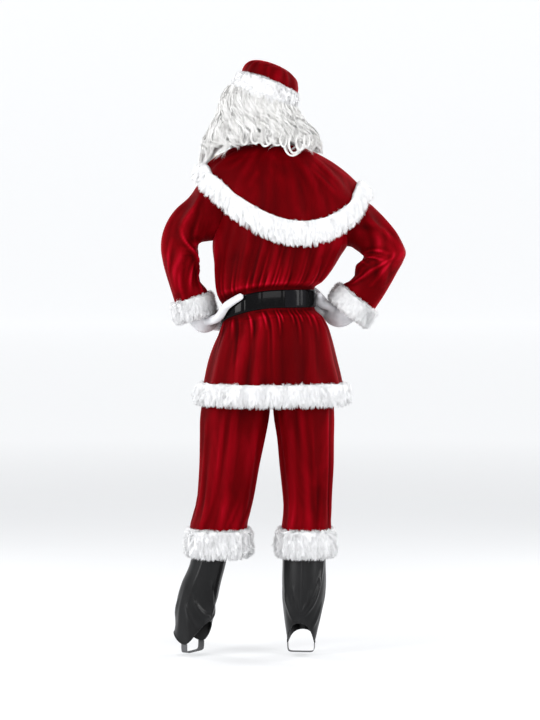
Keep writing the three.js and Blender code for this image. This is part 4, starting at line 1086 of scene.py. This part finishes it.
def blades(patch, rng, tufts, pile, lean, each=BLADES, width=BLADE_WIDTH):
    """Tapered blades in tufts: roots spread over the patch, tips drawn together."""
    rows, columns = patch.points.shape[:2]
    ci = rng.random(tufts) * (rows - 1)
    cj = rng.random(tufts) * (columns if patch.closed else columns - 1)
    pitch = np.linalg.norm(np.diff(patch.points, axis=1), axis=-1).mean()
    step = np.linalg.norm(np.diff(patch.points, axis=0), axis=-1).mean()
    i = ci[:, None] + rng.normal(0, TUFT_SIZE / step, (tufts, each))
    j = cj[:, None] + rng.normal(0, TUFT_SIZE / pitch, (tufts, each))
    roots, normals, down = patch.read(i, j)
    share = np.clip(i / (rows - 1), 0, 1)[..., None]
    fall = lean[0] + (lean[1] - lean[0]) * share
    way = normals * (1 - 0.5 * np.abs(fall)) + down * fall
    way = way + rng.normal(0, SPREAD, (tufts, 1, 3)) + rng.normal(0, SPREAD * 0.5, (tufts, each, 3))
    way = unit(way)
    grow = np.clip(0.45 + 1.1 * share, 0.45, 1.1)
    reach = pile * grow * rng.uniform(0.8, 1.2, (tufts, 1, 1)) * rng.uniform(
        0.65, 1.1, (tufts, each, 1))
    tips = roots + way * reach
    drawn = TIP_DRAW[0] + (TIP_DRAW[1] - TIP_DRAW[0]) * share
    tips = tips * (1 - drawn) + tips.mean(1, keepdims=True) * drawn
    side = unit(np.cross(way, normals))
    roll = rng.normal(0, 0.4, (tufts, each, 1))
    side = unit(side * np.cos(roll) + normals * np.sin(roll))
    half = width * rng.uniform(0.7, 1.2, (tufts, each, 1)) / 2
    verts = np.stack([roots - side * half, roots + side * half, tips], 2).reshape(-1, 3)
    shade = normals + 0.25 * way + rng.normal(0, 0.1, (tufts, 1, 3))
    shade = shade + rng.normal(0, 0.26, (tufts, each, 3))
    shade = np.repeat(unit(shade)[:, :, None], 3, 2).reshape(-1, 3)
    start = (np.arange(tufts * each) * 3)[:, None]
    return verts, start + np.array([[0, 1, 2]]), shade


def fur_trim(name, node, surface, s0, s1, angles, thick, closed, seed, tufts, pile, lean):
    """A backing and its pile; the pile is the piece that stands for the CAD trim."""
    patch = trim_patch(surface, s0, s1, angles, thick, closed)
    back = backing_mesh(name + "_backing", patch, surface, s0, s1, angles, closed)
    dress(back, FUR_BACKING, "fur")
    rng = np.random.default_rng(seed)
    verts, faces, shade = blades(patch, rng, tufts, pile, lean)
    pile_obj = soft_normals(new_object(name, verts, triangles=faces), shade)
    dress(pile_obj, FUR, "fur", node)


HEM_LEAN = (0.75, 1.25)
fur_trim("fur_hem", "jacket_fur_hem", jacket_plain, 0.0, 0.93, around(360), 28, True, 11,
         2900, 20, HEM_LEAN)
fur_trim("fur_cape", "cape_fur", cape_plain, 0.0, 0.7, np.linspace(*CAPE_SPAN, 360), 22, False, 12,
         3000, 19, (0.8, 1.35))
for side, (cuff, end) in {"left": (10, 11), "right": (11, 12)}.items():
    fur_trim(f"fur_sleeve_{side}", f"sleeve_fur_{side}", arm(ARMS[side], SLEEVE_FOLDS), end,
             cuff + 0.08, around(140), 17, True, 21 + len(side), 1000, 19, (0.4, 0.95))
for side in ("left", "right"):
    form = ring_surface(LEGS[side][:10], LEG_FOLDS, FOLD_LEG)
    fur_trim(f"fur_trouser_{side}", f"trouser_fur_{side}", form, 0.0, 0.95, around(180), 19.5,
             True, 31 + len(side), 1400, 17, (0.35, 1.05))
fur_trim("fur_hat", "hat_band", hat_plain, 0.0, 1.96, around(180), 18, True, 41,
         1500, 12, (0.45, 1.0))


# Hair: ribbons along waved paths, in locks


def ribbons(paths, normals, widths, rng):
    """Flat tapered strips along paths of shape (count, steps, 3), each rolled a little."""
    count, steps = paths.shape[:2]
    along = np.gradient(paths, axis=1)
    side = unit(np.cross(along, normals))
    roll = rng.normal(0, 0.7, (count, 1, 1))
    side = unit(side * np.cos(roll) + normals * np.sin(roll))
    left, right = paths - side * widths[..., None] / 2, paths + side * widths[..., None] / 2
    points = np.stack([left, right], 2).reshape(-1, 3)
    shade = normals + side * rng.normal(0, 0.32, (count, 1, 1))
    shade = np.repeat(unit(shade)[:, :, None], 2, 2).reshape(-1, 3)
    start = (np.arange(count) * steps * 2)[:, None]
    k = (np.arange(steps - 1) * 2)[None]
    quads = np.stack([start + k, start + k + 1, start + k + 3, start + k + 2], -1).reshape(-1, 4)
    return points, quads, shade


def strand_paths(rng, surface, locks, each, steps, start, out, wave):
    """Locks of strands that fall down a surface in shared waves; a lock is (angle, end row)."""
    t = np.linspace(0, 1, steps)[None, None]
    lock_angle = np.array([row[0] for row in locks])[:, None, None]
    finish = np.array([row[1] for row in locks])[:, None, None]
    phase = rng.uniform(0, FULL, (len(locks), 1, 1))
    size = rng.uniform(0.7, 1.3, (len(locks), 1, 1))
    pitch = rng.uniform(2.2, 3.2, (len(locks), 1, 1))
    fan = rng.normal(0, 2.8, (len(locks), each, 1)) * (1 - 0.5 * t)
    late = rng.normal(0, 0.45, (len(locks), each, 1))
    s = start + (finish - start) * t * (1 + 0.05 * late)
    swing = wave * size * (0.3 + 0.7 * t) * np.sin(FULL * pitch * t + phase + late)
    a = np.radians(lock_angle + fan + swing * 0.6 + 3 * np.sin(phase) * t)
    lift = out * (0.5 + 0.5 * np.sin(np.pi * np.clip(t * 1.1, 0, 1)))
    lift = lift + rng.uniform(-3, 5, (len(locks), each, 1))
    lift = lift + 3.5 * size * np.cos(FULL * pitch * t + phase + late)
    s, a = np.broadcast_arrays(s, a)
    points = surface.at(s, a, np.maximum(lift, 1.0))
    normals = surface.cross(s, a) * surface.sign
    return points.reshape(-1, steps, 3), normals.reshape(-1, steps, 3)


def lock_widths(rng, count, steps, width):
    t = np.linspace(0, 1, steps)[None]
    taper = np.minimum(1, 3 * (1.03 - t)) * (0.75 + 0.25 * np.sin(np.pi * t))
    return width * rng.uniform(0.7, 1.2, (count, 1)) * taper


cape_tree = tree_of(*shell_grid(cape, cape_rows, np.linspace(*CAPE_SPAN, 210), False))
LAID_TOP = 1660
LAID_LIFT = 4.0


def laid(paths, rng):
    """Strands that would pass through the cape lie on it instead."""
    flat = paths.reshape(-1, 3)
    lift = LAID_LIFT + rng.uniform(0, 7, len(paths)).repeat(paths.shape[1])
    for k in np.flatnonzero(flat[:, 2] < LAID_TOP):
        hit = cape_tree.ray_cast((flat[k, 0], flat[k, 1], LAID_TOP + 60), (0, 0, -1))[0]
        if hit is not None:
            flat[k, 2] = max(flat[k, 2], hit.z + lift[k])
    return flat.reshape(paths.shape)


def hair_mesh(name, paths, normals, width, rng, *nodes):
    widths = lock_widths(rng, len(paths), paths.shape[1], width)
    points, quads, shade = ribbons(paths, normals, widths, rng)
    return dress(soft_normals(new_object(name, points, quads), shade), HAIR, "hair", *nodes)


rng = np.random.default_rng(51)
hair_rows, hair_angles = np.linspace(0.95, 5.0, 30), np.radians(
    np.linspace(-180 - WIG_SIDE, WIG_SIDE, 110))
points, quads = shell_grid(wig, hair_rows, hair_angles, False)
# The wig cap under the strands wears the darker hair copy: painted shade
dress(new_object("wig_cap", *thicken(points, quads, 3.0)), HAIR_PAINTED_SHADE, "hair", "wig_back")

# Where the locks end: lowest at the left side, short over the centre back, wisps at the right
LOCK_COUNT = 88
LOCK_ENDS = [(-215, 0.1), (-180, 0.15), (-150, 0.9), (-120, 1.5), (-90, 1.7), (-60, 1.5),
             (-30, 1.2), (0, 0.9), (35, 0.6)]
lock_list = []
for angle in np.linspace(-180 - WIG_SIDE + 3, WIG_SIDE - 3, LOCK_COUNT):
    end = np.interp(angle, *zip(*LOCK_ENDS)) + rng.uniform(-0.35, 0.3)
    lock_list.append((angle + rng.uniform(-2, 2), end))
paths, normals = strand_paths(rng, strand_form, lock_list, 56, 15, 5.9, 12, 9)
hair_mesh("wig_hair", laid(paths, rng), normals, 1.5, rng, "wig_locks")

BEARD_LOCKS = 26
lock_list = [(6 + i * 168 / (BEARD_LOCKS - 1), rng.uniform(-0.1, 0.5)) for i in range(BEARD_LOCKS)]
paths, normals = strand_paths(rng, beard, lock_list, 56, 13, 5.0, 8, 7)
hair_mesh("beard_hair", paths, normals, 1.6, rng, "beard")
points, quads = shell_grid(beard, np.linspace(0.3, 5, 30), np.linspace(0.05, math.pi - 0.05, 60),
                           False)
# The beard backing wears the darker hair copy too: painted shade under the strands
dress(new_object("beard_backing", *thicken(points, quads, 4.0)), HAIR_PAINTED_SHADE, "hair")

# Loose curls hang over the back of the cape: x, lowest z, half width and height of each loop
CURLS = [(-14, 1592, 14, 40), (-4, 1598, 9, 30), (24, 1594, 15, 36), (42, 1590, 10, 36),
         (68, 1562, 23, 56), (74, 1570, 17, 50), (92, 1580, 12, 40), (-46, 1600, 12, 34),
         (-78, 1596, 11, 30), (112, 1590, 9, 34)]
CURL_BACK = -136.0


def curl(rng, x, low, half, tall, strands=22, steps=20):
    """A hanging loop of strands, down one side and up the other."""
    t = np.linspace(0, 1, steps)[None]
    turn = np.pi * (1.5 * t - 0.25)
    size = half * (1 + rng.normal(0, 0.1, (strands, 1)))
    across = -np.cos(turn) * size + rng.normal(0, 1.1, (strands, 1))
    climb = (1 - np.sin(turn)) * tall * 0.6 + rng.normal(0, 1.5, (strands, 1))
    lean = (t - 0.5) * 10 + rng.normal(0, 1.5, (strands, 1))
    y = CURL_BACK + lean + 0.3 * climb
    path = np.stack([x + across, np.broadcast_to(y, across.shape), low + climb], -1)
    return path, np.broadcast_to([0.0, -0.98, 0.2], path.shape)


parts = [curl(rng, *row) for row in CURLS]
paths = np.concatenate([p for p, _ in parts])
normals = np.concatenate([n for _, n in parts])
hair_mesh("wig_curls", paths, normals, 1.5, rng)


# Gloves: knit, from tubes joined by a fine remesh

GLOVES = {
    "left": {
        "fingers": (158, 144, 128), "thumb_root": (-194, 2, 1054, 16),
        "thumb": [(-163, -16, 14), (-147, 8, 13), (-129, 24, 11)],
        "palm": [(-250, 2, 1122, 30), (-234, 9, 1082, 33), (-213, 24, 1050, 34),
                 (-197, 48, 1046, 31), (-182, 72, 1050, 24)]},
    "right": {
        "fingers": (22, 36, 54), "thumb_root": (206, 22, 1090, 16),
        "thumb": [(7, -12, 14), (2, 0, 13), (-3, 9, 10)],
        "palm": [(272, 4, 1120, 30), (250, 11, 1086, 33), (224, 28, 1068, 36),
                 (204, 52, 1068, 34), (188, 76, 1072, 25)]}}
FINGER_RADII = (12, 11, 10, 7)
FINGER_RISES = (25, 8, -9, -25)
FINGER_REST = 1.2
GLOVE_VOXEL = 0.0036


def smooth_tube(points, radii, per=6, sides=14):
    """A closed tube with rounded ends through points."""
    rows = np.column_stack([np.asarray(points, float), radii])
    s = np.linspace(0, len(rows) - 1, (len(rows) - 1) * per + 1)
    fine = rows_at(rows, s)
    path, radius = fine[:, :3], fine[:, 3]
    along = unit(path[-1] - path[-2])
    tip = path[-1] + along * radius[-1] * np.array([[0.45], [0.8], [0.98]])
    path = np.concatenate([path, tip])
    radius = np.concatenate([radius, radius[-1] * np.array([0.89, 0.6, 0.15])])
    ring_points, ring_quads = tube_grid(path, radius, sides, False)
    ends = [ring_points[:sides].mean(0), ring_points[-sides:].mean(0)]
    points = np.concatenate([ring_points, ends])
    first, last = len(ring_points), len(ring_points) + 1
    k = np.arange(sides)
    nxt = (k + 1) % sides
    base = len(ring_points) - sides
    caps = np.concatenate([np.column_stack([np.full(sides, first), nxt, k]),
                           np.column_stack([np.full(sides, last), base + k, base + nxt])])
    return points, ring_quads, caps


def glove(side):
    spec = GLOVES[side]
    palm = np.array(spec["palm"], float)
    tubes = [smooth_tube(palm[:, :3], palm[:, 3], sides=20)]
    near = palm[-1, :3]
    for rise in FINGER_RISES:
        out = BELT_OUT + np.array(FINGER_RADII[1:]) + FINGER_REST
        joints = belt.at(np.full(3, rise), np.radians(np.array(spec["fingers"], float)), out)
        root = near + [0, -8, rise * 0.7]
        tubes.append(smooth_tube([root, *joints], FINGER_RADII))
    thumb = np.array(spec["thumb"], float)
    joints = belt.at(thumb[:, 1], np.radians(thumb[:, 0]), BELT_OUT + thumb[:, 2] + FINGER_REST)
    x, y, z, radius = spec["thumb_root"]
    tubes.append(smooth_tube([(x, y, z), *joints], (radius, *thumb[:, 2])))
    points, quads, caps, base = [], [], [], 0
    for tube_points, tube_quads, tube_caps in tubes:
        points.append(tube_points)
        quads.append(tube_quads + base)
        caps.append(tube_caps + base)
        base += len(tube_points)
    return (np.concatenate(points), np.concatenate(quads), np.concatenate(caps)), palm


def applied(obj):
    """The object's mesh with its modifiers applied and removed."""
    graph = bpy.context.evaluated_depsgraph_get()
    mesh = bpy.data.meshes.new_from_object(obj.evaluated_get(graph))
    obj.modifiers.clear()
    obj.data = mesh
    return obj


for side in ("left", "right"):
    parts, palm = glove(side)
    obj = new_object(f"knit_glove_{side}", *parts)
    remesh = obj.modifiers.new("join", "REMESH")
    remesh.mode = "VOXEL"
    remesh.voxel_size = GLOVE_VOXEL
    soften = obj.modifiers.new("soften", "SMOOTH")
    soften.iterations = 5
    applied(obj)
    count = len(obj.data.vertices)
    co = np.zeros(count * 3)
    obj.data.vertices.foreach_get("co", co)
    co = co.reshape(-1, 3)
    faces = np.array([list(p.vertices) for p in obj.data.polygons if len(p.vertices) == 4])
    cut = to_row(palm[0, :3])
    way = unit(to_row(palm[1, :3]) - cut)
    keep = ((co[faces].mean(1) - cut) @ way) > 0.001
    points, faces = used(co / MM + HOLD, faces[keep])
    bpy.data.objects.remove(obj)
    obj = new_object(f"knit_glove_{side}", *thicken(points, faces, 1.4))
    dress(obj, KNIT, "knit", f"glove_{side}")


# Stage, light and camera


def studio_paint():
    """Pale matt paint with a little light of its own, more far off, so that the wall stays pale."""
    look = Look("studio_paint")
    soft = look.noise(3, (1, 1, 1), 2)
    shade = look.ramp(soft, (0.3, (0.415, 0.418, 0.425)), (0.7, (0.42, 0.423, 0.43)))
    distance = look.node("VectorMath", {0: look.place}, operation="LENGTH").outputs["Value"]
    glow = look.level(distance, 1.8, 9.0, 0.42, 0.70)
    return look.finish({
        "Base Color": shade, "Roughness": 0.85, "Specular IOR Level": 0.2,
        "Emission Color": (0.98, 0.99, 1.0, 1), "Emission Strength": glow})


# A round floor that sweeps up into a wall all round, wide enough for a view from any side
WALL_RADIUS = 40000
WALL_TOP = 16000
SWEEP = 7000
STAGE_SIDES = 96
profile = [(1, 0), (1500, 0), (5000, 0), (15000, 0), (WALL_RADIUS - SWEEP, 0)]
profile += [(WALL_RADIUS - SWEEP + SWEEP * math.sin(t), SWEEP * (1 - math.cos(t)))
            for t in np.linspace(0, QUARTER, 14)[1:]]
profile += [(WALL_RADIUS, WALL_TOP)]
stage_points = np.array([[r * math.cos(a), r * math.sin(a), z]
                         for r, z in profile for a in around(STAGE_SIDES)])
floor = new_object("floor", stage_points, grid_quads(len(profile), STAGE_SIDES, True))
floor.data.materials.append(studio_paint())


def area_light(name, place, target, size, power):
    light = bpy.data.lights.new(name, "AREA")
    light.shape = "RECTANGLE"
    light.size, light.size_y = size
    light.energy = power
    obj = bpy.data.objects.new(name, light)
    obj.location = place
    obj.rotation_euler = (Vector(target) - Vector(place)).to_track_quat("-Z", "Y").to_euler()
    bpy.context.scene.collection.objects.link(obj)


# Place, target, size and power
LIGHTS = {
    "left": ((-3.4, -2.3, 0.5), (0, 0, -0.45), (1.4, 2.8), 158),
    "right": ((3.4, -2.1, 0.4), (0, 0, -0.45), (1.4, 2.8), 128),
    "front": ((0.3, -5.2, 0.6), (0, 0, -0.8), (2.4, 2.0), 72),
    "rim_left": ((-2.4, 1.7, 0.8), (0, 0, -0.4), (0.9, 2.4), 52),
    "rim_right": ((2.4, 1.6, 0.6), (0, 0, -0.4), (0.9, 2.4), 52),
    "top": ((0, -0.6, 2.8), (0, 0, 0), (2.2, 1.6), 24)}
for name, values in LIGHTS.items():
    area_light(name, *values)

world = bpy.data.worlds.new("studio")
bpy.context.scene.world = world
world.use_nodes = True
background = world.node_tree.nodes["Background"]
background.inputs["Color"].default_value = (0.95, 0.97, 1.0, 1)
background.inputs["Strength"].default_value = 0.42
bpy.context.scene.view_settings.view_transform = "Standard"

camera = bpy.data.cameras.new("camera")
camera.sensor_width = 36
camera.lens = 128.1
camera.clip_end = 120
camera_obj = bpy.data.objects.new("camera", camera)
camera_obj.location = (0, -8.0, -0.20)
aim = Vector((0, 0, -0.570)) - camera_obj.location
camera_obj.rotation_euler = aim.to_track_quat("-Z", "Y").to_euler()
bpy.context.scene.collection.objects.link(camera_obj)
bpy.context.scene.camera = camera_obj
